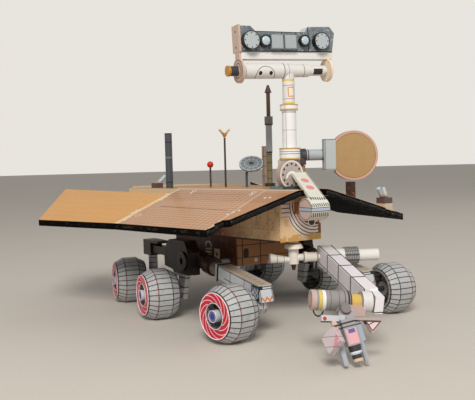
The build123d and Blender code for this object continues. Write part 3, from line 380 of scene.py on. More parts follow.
def circle(axis, count):
    """Points of a round of radius 1 about an axis: cos t * first + sin t * second."""
    first = unit(np.cross(axis, (0.3, 0.1, 1.0) if abs(axis[2]) < 0.9 else (1.0, 0.0, 0.0)))
    angle = np.arange(count)[:, None] * 2 * np.pi / count
    return np.cos(angle) * first + np.sin(angle) * np.cross(axis, first)


def turned(origin, axis, profile, count=32):
    """Surface of revolution: origin + axis * along + radius * (cos t, sin t) across the axis."""
    axis = unit(axis)
    profile = np.array(profile, float)
    points = origin + profile[:, None, :1] * axis + profile[:, None, 1:] * circle(axis, count)
    faces = grid_faces(len(profile), count)
    caps = [list(range(count)), list(range((len(profile) - 1) * count, len(profile) * count))]
    faces += [cap for cap, end in zip(caps, (0, -1)) if profile[end, 1] > 1e-6]
    return points.reshape(-1, 3), faces


def tube(path, radius, count=10, closed=False):
    """A circle carried along a path: path + radius * (cos t * normal + sin t * binormal)."""
    path = np.asarray(path, float)
    ahead = np.roll(path, -1, 0) - np.roll(path, 1, 0)
    if not closed:
        ahead = np.gradient(path, axis=0)
    ahead /= np.linalg.norm(ahead, axis=1)[:, None]
    normal = np.cross(ahead, (0.21, 0.34, 0.92))
    normal /= np.linalg.norm(normal, axis=1)[:, None]
    binormal = np.cross(ahead, normal)
    angle = np.arange(count) * 2 * np.pi / count
    radius = np.broadcast_to(np.asarray(radius, float), (len(path),))[:, None, None]
    points = path[:, None] + radius * (np.cos(angle)[:, None] * normal[:, None]
                                       + np.sin(angle)[:, None] * binormal[:, None])
    faces = grid_faces(len(path), count, wrap=closed)
    if not closed:
        faces += [list(range(count)), list(range((len(path) - 1) * count, len(path) * count))]
    return points.reshape(-1, 3), faces


def hoop(centre, axis, radius, thick, count=32):
    """A thin round ring: a small circle carried round a large one about the axis."""
    return tube(centre + radius * circle(unit(axis), count), thick, 6, closed=True)


def joined(parts):
    """Several surfaces as the points and faces of one mesh."""
    points, faces, first = [], [], 0
    for some_points, some_faces in parts:
        points.append(some_points)
        faces += [[first + i for i in face] for face in some_faces]
        first += len(some_points)
    return np.concatenate(points), faces


# Sizes and colours that a user may change

def colour_property(name, description, *display):
    return FloatVectorProperty(name=name, description=description, default=tone(*display), size=4,
                               min=0.0, max=1.0, subtype="COLOR")


def length_property(name, description, millimetres):
    return FloatProperty(name=name, description=description + ", in millimetres", default=millimetres,
                         min=0.0, soft_max=10 * millimetres, subtype="DISTANCE", unit="NONE")


class DeckPrint(bpy.types.PropertyGroup):
    """Print of the deck's five cards."""
    wing: colour_property("Wing brown", "Brown of the two gridded wings", 190, 142, 104)
    flap: colour_property("Flap gold", "Tan gold of the outer flaps and tail", 216, 160, 92)
    centre: colour_property("Centre brown", "Plain brown of the centre card", 176, 134, 92)
    edge: colour_property("Edge black", "Rough black of the cut edges", 7, 6, 5)
    line: colour_property("Grid white", "Thin lines between the cells", 232, 214, 196)
    pitch_out: length_property("Pitch outward", "Spacing of the lines along the fold", 2.35)
    pitch_along: length_property("Pitch along", "Spacing of the lines along the hinge", 2.85)
    line_width: length_property("Line width", "Width of a printed line", 0.26)


class BodyPrint(bpy.types.PropertyGroup):
    """Foil print of the body and belly boxes."""
    # The cream is the foil's tone in light; the red-brown is painted shade, the same foil in the wing's
    # shadow.
    foil: colour_property("Foil gold", "Cream gold of the foil near the front", 222, 184, 138)
    painted_shade_brown: colour_property("Foil brown", "Red-brown of the shaded foil", 126, 62, 28)
    # The belly's dark brown is painted shade, the foil's tone in the deep shadow under the deck.
    belly: colour_property("Belly brown", "Dark brown of the belly", 74, 36, 20)


class SuspensionPrint(bpy.types.PropertyGroup):
    """Greys of the rockers, bogies and legs."""
    rocker: colour_property("Rocker grey", "Side of the rocker beams", 204, 206, 210)
    # The bogies' near-black is their own dark brown, darkened further as painted shade from the wing's
    # shadow.
    bogie: colour_property("Bogie black", "Side plates of the bogies", 24, 17, 13)
    motor: colour_property("Motor silver", "Steering motors", 196, 198, 202)


class WheelPrint(bpy.types.PropertyGroup):
    """Print of the six wheels."""
    barrel: colour_property("Barrel grey", "Light grey of the treads", 184, 186, 188)
    disc: colour_property("Disc crimson", "Spiral arms of the outer disc", 204, 34, 62)
    swirl: colour_property("Swirl white", "Thin lines between the arms", 252, 232, 236)
    hub: colour_property("Hub blue", "Plain blue disc on the hub", 58, 64, 140)
    arms: FloatProperty(name="Arms", description="Number of spiral arms", default=11.0, min=3.0, max=20.0)


class MastPrint(bpy.types.PropertyGroup):
    """White tubes of the mast and tilt tube."""
    white: colour_property("Tube white", "Paper white of the tubes", 238, 239, 240)
    gold: colour_property("Rim gold", "Gold rims", 190, 140, 60)


class HeadPrint(bpy.types.PropertyGroup):
    """Print of the camera bar."""
    face: colour_property("Face grey", "Speckled front of the bar", 118, 127, 133)
    eye: colour_property("Eye grey", "Flat discs", 182, 192, 197)
    lens: colour_property("Lens blue", "Pale blue lenses", 184, 202, 214)


class SmallPrint(bpy.types.PropertyGroup):
    """Strip, drum, antennas, pins and tube boxes."""
    strip: colour_property("Strip white", "Greenish white strip", 222, 222, 210)
    tube: colour_property("Tube blue", "Pale blue tubes", 186, 200, 208)
    ball: colour_property("Ball red", "Head of the ball pin", 196, 44, 36)


class DishPrint(bpy.types.PropertyGroup):
    """Dish and its bracket."""
    face: colour_property("Dish tan", "Tan face", 178, 146, 102)
    rim: colour_property("Rim pink", "Pink rim", 208, 166, 150)
    bracket: colour_property("Bracket blue", "Pale blue-grey bracket", 186, 194, 197)


class ArmPrint(bpy.types.PropertyGroup):
    """Instrument arm and turret."""
    link: colour_property("Arm pink white", "Pale sides of the upper arm", 244, 240, 246)
    tube: colour_property("Elbow grey", "Ribbed elbow tube", 150, 148, 148)
    gold: colour_property("Elbow gold", "Short gold cylinder", 220, 186, 104)
    plate: colour_property("Turret grey", "Turret plates", 172, 170, 172)


class StageLook(bpy.types.PropertyGroup):
    """Floor, background and lamps."""
    floor: colour_property("Floor", "Pale floor", 214, 208, 200)
    background: colour_property("Background", "Pale background", 232, 228, 222)
    sky: FloatProperty(name="Sky", description="Strength of the even light", default=0.32, min=0.0, max=1.0)
    key: FloatProperty(name="Key", description="Key lamp, as a share of plain white", default=0.72,
                       min=0.0, max=2.0)


# Deck

WING_OUTER = (65.6, 4.6)
WING_BACK_Y = 23.7
FLAP_BACK = (61.7, 88.8, 59.5)
FLAP_TIP = (88.5, 48.1, 46.42)
EDGE_CORNERS = [(8.0, -56.0), (42.0, -55.8), (43.5, -53.0), (47.5, -53.0), (49.0, -55.7), (53.0, -55.7),
                WING_OUTER]
BEAD_RADIUS = 1.15
BEAD_INSET = 0.75
BEAD_DEPTH = 1.6
BEAD_STEP = 0.8
BEAD_LUMPS = 0.12
BEAD_WANDER = 0.14
BEAD_SEED = 11
# Places on a wing: out from the fold, and ahead of the hinge of its flap
CELLS_OUT = 3.6
CELLS_AHEAD = 60.8
WING_KNOTS = [(14.6, 1.6), (41.0, 1.6), (4.8, 14.8), (5.1, 55.7)]
WING_DASHES = [(25.2, 62.7), (27.3, 60.9), (29.7, 59.4), (10.1, 66.7), (9.5, 69.2)]
FLAP_KNOTS = (15.0, 42.0)
PALE_PRINT = (240, 232, 220)
RAW_BOARD = (150, 118, 86)
HINGE_BAND = (238, 212, 170)


def black_edge(card, off, edge):
    """Black on the cut edge with a few pale specks, painted glints; off is the height above the card's face.
    """
    cut = (off < CARD_FACE) & (off > CARD_BACK)
    card.ink(cut, edge)
    # Painted glints: pale specks on the black edge.
    card.ink(cut & (card.noise(0.55, 1) > 0.72), (62, 59, 57))
    return cut


def knot(u, v, cu, cv):
    """Printed wire of a hinge: two loops, two crossed strokes and two ends."""
    loops = ring(u, v, cu - 1.5, cv, 1.0, 0.3) | ring(u, v, cu + 1.5, cv + 0.3, 0.8, 0.3)
    cross = stroke(u, v, (cu - 2.6, cv - 1.4), (cu + 2.8, cv + 1.3), 0.3)
    return loops | cross | stroke(u, v, (cu - 2.2, cv + 1.6), (cu + 2.2, cv - 1.5), 0.3)


def wing_card(look, side):
    card = Finish("wing_card_" + ("port" if side > 0 else "starboard"), look.wing)
    origin, out_axis, _, off_axis = wing_frame(side)
    out = card.axis(origin, out_axis)
    off = card.axis(origin, off_axis)
    forward = unit((side * -0.4157, -0.9095, 0))
    ahead = card.axis(spot(side * WING_OUTER[0], WING_OUTER[1], 0), forward)
    top = off > CARD_FACE
    cells = (ahead < CELLS_AHEAD) & (ahead > 0.9) & (out > CELLS_OUT)
    card.shade(0.92 + 0.16 * card.noise(14.0))
    card.ink((abs(out) < 16.0) * 0.35, (150, 104, 76))
    card.ink(near(out, 1.9, 1.7), (186, 148, 118))
    card.ink(near(ahead, 0.2, 0.9), (222, 190, 150))
    grid = (rules(out - CELLS_OUT, look.pitch_out, look.line_width)
            | rules(ahead, look.pitch_along, look.line_width))
    card.ink((grid & cells & top) * 0.62, look.line)
    card.ink(near(out, 0.25, 0.28) & top, (246, 236, 222))
    card.ink((near(ahead, 0.9, 0.9) & top) * 0.8, HINGE_BAND)
    for u, v in WING_KNOTS:
        card.ink(knot(out, ahead, u, v) & top, PALE_PRINT)
    card.ink(stroke(out, ahead, (24.6, 10.0), (25.6, 56.0), 0.5) & top, (96, 66, 48))
    card.ink(stroke(out, ahead, (6.8, 12.0), (7.0, 58.0), 0.35) & top, (120, 84, 60))
    for u, v in WING_DASHES:
        card.ink(within(out, ahead, (u - 0.7, u + 0.7), (v - 0.5, v + 0.5)) & top, PALE_PRINT)
    card.ink(ring(out, ahead, 36.2, 5.3, 1.5, 0.4) & top, (238, 220, 196))
    card.ink(near(ahead, CELLS_AHEAD, 0.16) & top, (240, 226, 206))
    card.ink(off < CARD_BACK, RAW_BOARD)
    cut = black_edge(card, off, look.edge)
    relief = grid * 0.2 * top + cut * card.noise(1.1, 2) * 3.0
    return card.close(rough=0.42 + 0.4 * cut, coat=0.16 * top, relief=relief, depth=0.12, gloss=0.05)


def flap_card(look, name, origin, first, second, off_axis, dark=True):
    """Gold card in large cells: an outer flap with its dark edge and hinge print, or the pale tail."""
    card = Finish(name, look.flap)
    u, v, off = card.axes(origin, first, second, off_axis)
    top = off > CARD_FACE
    card.shade(0.94 + 0.12 * card.noise(20.0))
    card.ink((rules(u, 6.2, 0.22) | rules(v, 4.6, 0.22)) & top * 0.3, look.line)
    if dark:
        card.ink((near(v, 0.0, 1.1) & top) * 0.8, HINGE_BAND)
        for place in FLAP_KNOTS:
            card.ink((knot(u, v, place, 1.0) | knot(u, v, place, -1.0)) & top, (244, 230, 204))
    card.ink(off < CARD_BACK, RAW_BOARD)
    cut = black_edge(card, off, look.edge if dark else (226, 196, 150))
    relief = cut * card.noise(1.1, 2) * 3.0
    return card.close(rough=0.4 + 0.4 * cut, coat=0.16 * top, relief=relief, depth=0.12, gloss=0.05)


def flap_frame(side):
    """Frame of an outer flap, through three of its corners."""
    start = wing_corner(*WING_OUTER)
    flip = np.array((side, 1, 1))
    along = unit(wing_corner(fold_x(WING_BACK_Y), WING_BACK_Y) - start)
    off = unit(np.cross(spot(*FLAP_BACK) - start, along))
    off = off if off[2] > 0 else -off
    across = np.cross(off, along)
    return start * flip, along * flip, across * flip, off * flip


def edge_bead(side_name, side, look):
    """Rough paint along the cut front and side edge of a wing and its flap, as a lumpy bead."""
    _, _, _, off = wing_frame(side)
    corners = [wing_corner(x, y) for x, y in EDGE_CORNERS] + [spot(*FLAP_TIP)]
    corners = np.array(corners) * (side, 1, 1)
    inward = unit((-side, 0.9, 0)) * BEAD_INSET
    corners = corners + inward - off * BEAD_DEPTH
    reach = np.concatenate([[0], np.cumsum(np.linalg.norm(np.diff(corners, axis=0), axis=1))])
    along = np.arange(0.0, reach[-1], BEAD_STEP)
    path = np.stack([np.interp(along, reach, corners[:, i]) for i in range(3)], 1)
    lumps = np.random.default_rng(BEAD_SEED).normal(size=(len(along), 2))
    radius = BEAD_RADIUS + BEAD_LUMPS * np.convolve(lumps[:, 0], np.ones(3) / 3, "same")
    path += off * BEAD_WANDER * lumps[:, 1:]
    card = Finish("edge_paint_" + side_name, look.edge)
    # Painted glints: pale specks on the black paint.
    card.ink(card.noise(0.5, 1) > 0.73, (104, 102, 100))
    paint = card.close(rough=0.5, coat=0.2, relief=card.noise(0.9, 2) * 2.0, depth=0.2, gloss=0.1)
    piece("edge_bead_" + side_name, *tube(path, radius, 10), "chassis", paint, "panel_card")


class ROVER_OT_deck(bpy.types.Operator):
    """Print the deck's cards"""
    bl_idname = "rover.deck"
    bl_label = "Deck"

    def execute(self, context):
        look = context.scene.rover_deck
        for side_name, side in SIDES.items():
            dress(wing_card(look, side), "wing_" + side_name)
            edge_bead(side_name, side, look)
            dress(flap_card(look, "flap_card_" + side_name, *flap_frame(side)), "outer_flap_" + side_name)
        tail = flap_card(look, "tail_card", spot(0, 67.5, DECK_TOP), (1, 0, 0), (0, 1, 0), UP, dark=False)
        dress(tail, "tail_panel")
        card = Finish("centre_card", look.centre)
        x, y, off = card.plan(z=DECK_TOP)
        card.shade(0.9 + 0.2 * card.noise(11.0))
        fold = abs(x) - fold_x(y)
        top = off > CARD_FACE
        card.ink(near(fold, -0.6, 0.25) & top, (214, 184, 148))
        card.ink((rules(y, 9.0, 0.24) | rules(x, 11.0, 0.24)) & top & (fold < -1.0), (150, 110, 74))
        cut = black_edge(card, off, look.edge)
        card.ink(cut & (y > -20.0), (222, 196, 160))
        dress(card.close(rough=0.5 + 0.3 * cut, coat=0.08 * top, gloss=0.05), "centre_deck")
        return {"FINISHED"}


# Body

def print_body_box(look):
    card = Finish("body_foil", look.foil)
    x, y, z = card.plan()
    front = y < -46.3
    # Painted light and shade on the side: cream where light falls near the front corner, fading to red-brown
    # painted shade toward the back.
    lit = card.math("SMOOTH_MIN", (-y - 12.0) * 0.045 + 0.5 * card.noise(9.0, 3), 1.0) | 0.0
    card.ink(~front, look.painted_shade_brown)
    card.ink(lit & ~front, look.foil)
    card.ink(((card.noise(5.0, 3) > 0.56) & ~front) * 0.22, (96, 44, 20))
    card.ink(((card.noise(2.4, 2) > 0.6) & ~front) * 0.25, (244, 214, 170))
    card.ink((near(card.noise(5.5, 3), 0.5, 0.01) & ~front) * 0.55, (150, 62, 44))
    seams = near(abs(y + 30.0), 9.0, 0.15) | near(z, 42.0, 0.12)
    card.ink((seams & ~front) * 0.5, (110, 62, 36))
    reach = distance(x + 0.9 * card.noise(4.0), z, 8.0, 53.0)
    cables = near(reach, 12.2, 3.6) & (x < 9.5) & (z < 53.5) & front
    card.ink(front * 0.75, (232, 200, 160))
    card.ink((front & (card.noise(3.4, 3) > 0.55)) * 0.4, (186, 138, 92))
    card.ink(cables, (238, 222, 214))
    card.ink((rules(reach, 1.5, 0.42) | near(reach, 9.2, 0.5)) & cables, (26, 20, 18))
    card.ink(disc(x, z, 6.0, 44.7, 1.9) & front, (60, 36, 24))
    card.ink(ring(x, z, 6.0, 44.7, 1.9, 0.5) & front, (238, 226, 210))
    right = (x > 9.5) & front
    card.ink(right & (card.noise(6.0, 2) > 0.4), (126, 78, 42))
    card.ink(right & ring(x, z, 13.6, 47.4, 2.6, 0.6), (206, 170, 120))
    card.ink(front & (z < 39.4) & (card.noise(4.0, 1) > 0.45), (206, 160, 88))
    label = within(x, z, (-10.4, -6.2), (47.5, 54.0)) & front
    card.ink(label, (236, 214, 202))
    card.ink(rules(z, 1.9, 0.4) & label, (40, 30, 28))
    card.ink((z < 37.3) & ~front, (60, 34, 20))
    dress(card.close(rough=0.38, coat=0.15, relief=card.noise(3.0, 3), depth=0.12), "body_box")


def print_belly_box(look):
    card = Finish("belly_foil", look.belly)
    x, y, z = card.plan()
    card.ink((card.noise(4.0, 3) > 0.58) * 0.5, (120, 62, 30))
    # Painted light and shade: dark brown base under the deck, tan where light reaches the front end.
    near_end = y < -19.0
    card.ink(near_end * 0.8, (176, 122, 78))
    frame_lines = near(abs(x + 9.0), 5.0, 0.3) | bands(z, (27.6, 0.2), (33.4, 0.2))
    card.ink(near_end & frame_lines, (60, 34, 22))
    card.ink(near_end & (disc(x, z, -12.0, 30.4, 1.5) | disc(x, z, -12.0, 28.8, 1.5)), (34, 20, 14))
    card.ink(near_end & disc(x, z, -6.6, 26.0, 0.9), (214, 204, 190))
    starboard = x < -15.0
    card.ink(near(y, 10.5, 0.8) & starboard, (24, 12, 8))
    arch = near(distance(y, z, 4.0, 31.0), 2.6, 0.5) & (z > 31.0)
    card.ink(arch & starboard, (236, 224, 206))
    stripes = within(y, z, (1.4, 6.6), (24.2, 31.0)) & starboard
    card.ink(stripes & rules(z, 1.5, 0.75), (226, 208, 186))
    card.ink(within(y, z, (-5.4, -0.8), (25.4, 30.6)) & starboard, (226, 206, 170))
    card.ink(disc(y, z, -3.0, 28.0, 1.0) & starboard, (120, 118, 116))
    dress(card.close(rough=0.45, coat=0.12, relief=card.noise(3.0, 3), depth=0.1), "belly_box")


class ROVER_OT_body(bpy.types.Operator):
    """Print the foil of the body and belly boxes"""
    bl_idname = "rover.body"
    bl_label = "Body"

    def execute(self, context):
        look = context.scene.rover_body
        print_body_box(look)
        print_belly_box(look)
        return {"FINISHED"}


# Suspension

ROCKER_X = 27.8
ROCKER_ROOT = (-12.0, 25.4)
ROCKER_NOSE = (-56.0, 18.6)


class ROVER_OT_suspension(bpy.types.Operator):
    """Print the rockers, bogies and corner legs"""
    bl_idname = "rover.suspension"
    bl_label = "Suspension"

    def execute(self, context):
        look = context.scene.rover_suspension
        for side_name, side in SIDES.items():
            dress(self.rocker(look, side_name, side), "rocker_" + side_name)
            dress(self.bogie(look, side_name, side), "bogie_" + side_name)
            for row in ("front", "rear"):
                dress(self.leg(look, side_name, side, row), "steering_leg_" + row + "_" + side_name)
        return {"FINISHED"}

    def rocker(self, look, side_name, side):
        card = Finish("rocker_card_" + side_name, look.rocker)
        root = spot(side * ROCKER_X, *ROCKER_ROOT)
        run = unit(spot(side * ROCKER_X, *ROCKER_NOSE) - root)
        rise = np.cross((1.0, 0.0, 0.0), run)
        rise = rise if rise[2] > 0 else -rise
        along, high, across = card.axes(root, run, rise, (side, 0, 0))
        card.shade(0.9 + 0.2 * card.noise(9.0))
        beam = along > 14.4
        outline = (near(abs(high), 2.95, 0.18) | near(abs(across), 2.85, 0.16)
                   | rules(along - 2.0, 11.3, 0.36)) & beam
        card.ink(outline, (52, 48, 46))
        card.ink(within(along, high, (20.0, 34.0), (-1.3, -0.9)), (70, 66, 64))
        roof = (high > 3.2) & beam
        card.ink(roof, (186, 176, 164))
        squares = rules(along, 3.0, 1.6) & roof & near(across, 0.4, 1.1)
        card.ink(squares, (196, 140, 84))
        card.ink(rules(along, 3.0, 1.1) & roof & near(across, 0.4, 0.8), (160, 150, 140))
        y, z = card.axes(spot(0, *ROCKER_NOSE), (0, 1, 0), UP)
        window = (abs(y) < 2.3) & (abs(z) < 2.4) & (across > 1.4)
        card.ink((abs(y) < 2.9) & (abs(z) < 3.0) & (across > 1.4), (28, 26, 28))
        card.ink(window, (128, 138, 150))
        card.ink(window & (rules(y + z, 2.4, 0.4) | rules(y - z, 2.4, 0.4)), (226, 230, 236))
        nose = (y < -2.9) & beam & (high < 3.2) & (abs(across) < 2.7)
        card.ink(nose, (202, 208, 214))
        zigzag = near(z + card.math("PINGPONG", across, 1.2) * 1.2, -1.6, 0.5)
        card.ink(nose & zigzag, (214, 124, 54))
        card.ink((along < 6.2) & (abs(across) < 4.6), (58, 38, 28))
        card.ink((along > 6.2) & (along < 12.4), (126, 112, 102))
        card.ink((along > 12.4) & (along < 14.5), (182, 186, 190))
        card.ink(bands(along, (6.6, 0.3), (12.4, 0.3), (14.5, 0.25)), (34, 30, 28))
        return card.close(rough=0.5, coat=0.06)

    def bogie(self, look, side_name, side):
        # Base tone: own dark brown, darkened further as painted shade from the wing's shadow.
        card = Finish("bogie_card_" + side_name, look.bogie)
        x, y, z = card.plan(side=side)
        card.shade(0.8 + 0.4 * card.noise(5.0))
        card.ink((card.noise(3.0, 2) > 0.62) * 0.4, (96, 70, 50))
        card.ink((ring(y, z, -3.4, 26.5, 3.9, 0.3) & (x > 36.0)) * 0.5, (120, 104, 92))
        leg = (z < 20.2) & (x > 33.9) & (x < 36.6)
        card.ink(leg, (182, 180, 178))
        card.ink(leg & bands(z, (18.6, 0.25), (14.0, 0.25), (11.0, 0.2)), (60, 56, 54))
        card.ink((z < 15.0) & (x > 36.6), (150, 150, 152))
        arm = (y > 18.0) & (z < 32.4)
        card.ink(arm, (70, 56, 46))
        card.ink((rules(y, 5.2, 0.3) | near(z, 28.4, 0.2)) & arm, (34, 28, 24))
        return card.close(rough=0.5, coat=0.1)

    def leg(self, look, side_name, side, row):
        card = Finish("leg_card_" + row + "_" + side_name, look.motor)
        _, out_axis, _, _ = wheel_frame(side, row, TOE[side_name][row])
        foot = spot(side * STEER_X[row], AXLE_Y[row], AXLE_Z)
        out, y, z = card.axes(foot, out_axis, (0, 1, 0), UP)
        card.shade(0.9 + 0.2 * card.noise(4.0))
        card.ink(bands(out, (3.9, 0.2), (-2.3, 0.2), (0.8, 0.12)) & (z < 3.2), (44, 42, 42))
        card.ink(rules(z, 2.6, 0.3) & (z > 3.2), (70, 66, 64))
        card.ink(disc(y, z, 0.0, 0.0, 1.3) & (abs(out) > 4.25), (60, 60, 64))
        return card.close(rough=0.35, coat=0.2)


# Wheels

DISC_FACE = 7.6
DISC_RADIUS = 9.1
WELL_RADIUS = 5.25
KNOB_RADIUS = 2.45
RIM_REACH = 7.7
WELL_RIM = 5.2
KNOB_RIM_REACH = 8.6
KNOB_RIM = 2.3
RIM_THICK = 0.16
KNOB_RIM_THICK = 0.14
SWIRL_SWEEP = np.radians(62.0)


class ROVER_OT_wheels(bpy.types.Operator):
    """Print the six wheels"""
    bl_idname = "rover.wheels"
    bl_label = "Wheels"

    def execute(self, context):
        look = context.scene.rover_wheels
        for side_name, side in SIDES.items():
            for row in AXLE_Y:
                name = row + "_" + side_name
                place = wheel_frame(side, row, TOE[side_name][row])
                dress(self.tread_and_disc(look, name, *place), "wheel_" + name)
                self.rims(look, name, *place[:2])
        return {"FINISHED"}

    def rims(self, look, name, centre, out_axis):
        """Paper edges of the outer disc and of its well, and the bead round the knob."""
        edge = Finish("disc_edge_" + name, look.swirl).close(rough=0.5)
        face = centre + out_axis * RIM_REACH
        rings = [hoop(face, out_axis, DISC_RADIUS, RIM_THICK, 40),
                 hoop(face, out_axis, WELL_RIM, RIM_THICK, 32),
                 hoop(centre + out_axis * KNOB_RIM_REACH, out_axis, KNOB_RIM, KNOB_RIM_THICK, 20)]
        piece("disc_edges_" + name, *joined(rings), "wheel_" + name, edge, "wheel_card")

    def tread_and_disc(self, look, name, centre, out_axis, up_axis, right_axis):
        card = Finish("wheel_card_" + name, look.barrel)
        out, high, right = card.axes(centre, out_axis, up_axis, right_axis)
        radius = distance(high, right)
        angle = card.math("ARCTAN2", right, high)
        step = np.pi / FACETS
        card.shade(0.9 + 0.2 * card.noise(4.0))
        card.ink((card.noise(1.2, 2) > 0.62) * 0.3, (120, 120, 120))
        edge = (step - card.math("PINGPONG", angle, step)) * radius
        card.ink((edge < 0.2) & (out < DISC_FACE), (40, 38, 40))
        card.ink(near(out, 3.4, 0.26), (92, 84, 86))
        dashes = near(out, 3.4, 0.2) & rules(angle, step * 4, step)
        card.ink(dashes, (206, 96, 84))
        card.ink(near(out, -3.4, 0.2), (40, 38, 40))
        card.ink(bands(out, (7.35, 0.28), (-7.35, 0.3)), (56, 44, 46))
        inside = (radius < 9.0) & (out < 7.0) | (radius < 10.2) & (abs(out) < 3.0)
        card.ink(inside, (142, 138, 134))
        face = out > DISC_FACE
        share = (8.9 - radius) / 3.7
        phase = (angle - share * float(SWIRL_SWEEP)) * (look.arms / (2 * np.pi))
        card.ink(face, look.disc)
        card.ink(face & (card.math("PINGPONG", phase, 0.5) < 0.07), look.swirl)
        card.ink(face & near(radius, 9.05, 0.22), look.swirl)
        well = (radius < WELL_RADIUS) & (out > 1.0)
        card.ink(well, (150, 148, 152))
        card.ink(well & (card.noise(0.8, 1) > 0.54), (56, 54, 58))
        card.ink(face & near(radius, 5.3, 0.25), (40, 34, 38))
        knob = (radius < KNOB_RADIUS) & (out > 2.2)
        card.ink(knob, (206, 206, 214))
        card.ink((radius < 2.1) & (out > 8.4), look.hub)
        card.ink(ring(high, right, 0.0, 0.0, 1.5, 0.2) & (out > 8.4), (150, 156, 206))
        return card.close(rough=0.46, coat=0.1)


# Mast and tilt tube

FOOT_DISC = (-2.4, -43.95, 65.8)
RIM_GOLD = (206, 178, 116)
# Height and radius
MAST_RIMS = [(72.6, 4.6), (77.4, 4.6), (94.4, 3.9), (96.6, 3.9)]


def print_mast_tube(look):
    card = Finish("mast_card", look.white)
    x, y, z = card.plan(0, MAST_Y, 0)
    angle = card.math("ARCTAN2", x, -y)
    card.ink(bands(z, (85.4, 0.1), (93.2, 0.14)), (150, 150, 152))
    card.ink(near(angle, -1.1, 0.05) & (z > 77.6), (170, 168, 168))
    card.ink(bands(z, (72.8, 0.35), (77.2, 0.35), (94.6, 0.2), (96.5, 0.25)), RIM_GOLD)
    card.ink(bands(z, (74.9, 0.14), (75.9, 0.14)), (120, 116, 112))
    dress(card.close(rough=0.5, coat=0.08), "mast_tube")
    gold = Finish("mast_rim", RIM_GOLD).close(rough=0.35, coat=0.2)
    rims = [hoop(spot(0, MAST_Y, z), UP, radius, 0.22) for z, radius in MAST_RIMS]
    piece("mast_rims", *joined(rims), "chassis", gold, "white_card")


def print_mast_foot():
    card = Finish("mast_foot_card", (186, 176, 172))
    x, y, z = card.plan(*FOOT_DISC)
    card.shade(0.92 + 0.16 * card.noise(5.0))
    face = near(y, 1.5, 1.7) & (z > -6.4)
    card.ink(ring(x, z, 0, 0, 5.9, 0.5) & face, (246, 238, 228))
    angle = card.math("ARCTAN2", x, z)
    radius = distance(x, z)
    dots = near(radius, 4.7, 0.45) & rules(angle, 0.5236, 0.2) & (y < 0.3)
    card.ink(dots, (52, 44, 44))
    card.ink((radius > 6.2) & face, (178, 162, 152))
    card.ink(ring(x, z, 0.0, -1.6, 2.6, 0.9) & (z > -1.6) & (y < 0.3), (250, 250, 248))
    card.ink(z < -5.1, (120, 138, 140))
    card.ink((z < -5.1) & (rules(x, 3.2, 0.3) | rules(y, 3.2, 0.3)), (70, 84, 86))
    card.ink((z > -5.1) & (y > 3.1), (214, 212, 208))
    dress(card.close(rough=0.5), "mast_foot")


def print_tilt_tube(look):
    card = Finish("tilt_tube_card", (226, 225, 223))
    along, ahead, high = card.axes(PIVOT, HEAD_X, HEAD_F, HEAD_UP)
    below = high < -3.5
    barrel = (high > -3.5) & (along > -22.7)
    card.ink(bands(along, (-3.4, 0.2), (-0.9, 0.1), (6.9, 0.16)) & barrel, (126, 120, 118))
    arch = ring(along, high, -12.75, -3.0, 4.6, 0.32) & (ahead > 0)
    card.ink(arch & barrel, (110, 104, 104))
    dots = (disc(along, high, -15.3, -1.3, 0.85) | disc(along, high, -10.2, -1.3, 0.85)) & (ahead > 0)
    card.ink(dots & barrel, (34, 32, 34))
    card.ink(within(along, high, (11.9, 16.6), (-1.9, 0.6)) & (ahead > 0), (48, 44, 46))
    card.ink(near(along, -22.4, 0.25) & (high > -3.5), (60, 58, 60))
    card.ink(along < -24.9, (64, 62, 64))
    card.ink(along < -28.5, look.gold)
    card.ink(below & bands(high, (-14.4, 0.5), (-4.3, 0.5)), (226, 200, 120))
    card.ink(below & bands(high, (-6.6, 0.1), (-12.4, 0.1)), (90, 84, 80))
    boxes = below & near(high, -9.5, 2.2) & near(along, -0.4, 1.6) & (ahead > 0)
    card.ink(boxes, (222, 160, 104))
    card.ink(boxes & near(high, -9.5, 1.7) & near(along, -0.4, 1.1), (238, 232, 224))
    dress(card.close(rough=0.48, coat=0.08), "tilt_tube")


class ROVER_OT_mast(bpy.types.Operator):
    """Print the mast, its foot and the tilt tube"""
    bl_idname = "rover.mast"
    bl_label = "Mast"

    def execute(self, context):
        look = context.scene.rover_mast
        print_mast_tube(look)
        print_mast_foot()
        print_tilt_tube(look)
        return {"FINISHED"}


# Camera bar

# Lenses: along the bar, above the pivot, radius and reach ahead; seams: two ends each
LENSES = [(-19.6, 12.4, 3.9, 5.2), (-12.4, 12.3, 2.6, 4.4), (7.0, 12.6, 2.5, 4.4), (15.3, 12.4, 3.8, 5.2)]
SEAMS = [((-23.7, 8.1), (22.0, 8.1)), ((-16.4, 16.6), (8.2, 16.4)), ((-16.4, 8.0), (-16.4, 16.6)),
         ((9.8, 8.0), (9.8, 18.9)), ((-3.5, 8.0), (-3.5, 16.5)), ((3.4, 8.0), (3.4, 16.5))]
BOLT = [(-0.2, 0.3), (0.1, 0.3), (0.22, 0.18), (0.26, 0.0)]
# The flat discs are larger than this, the domed lenses smaller
DISC_LEAST = 3.0
SQUARE_BOXES = (-6.8, -0.2)


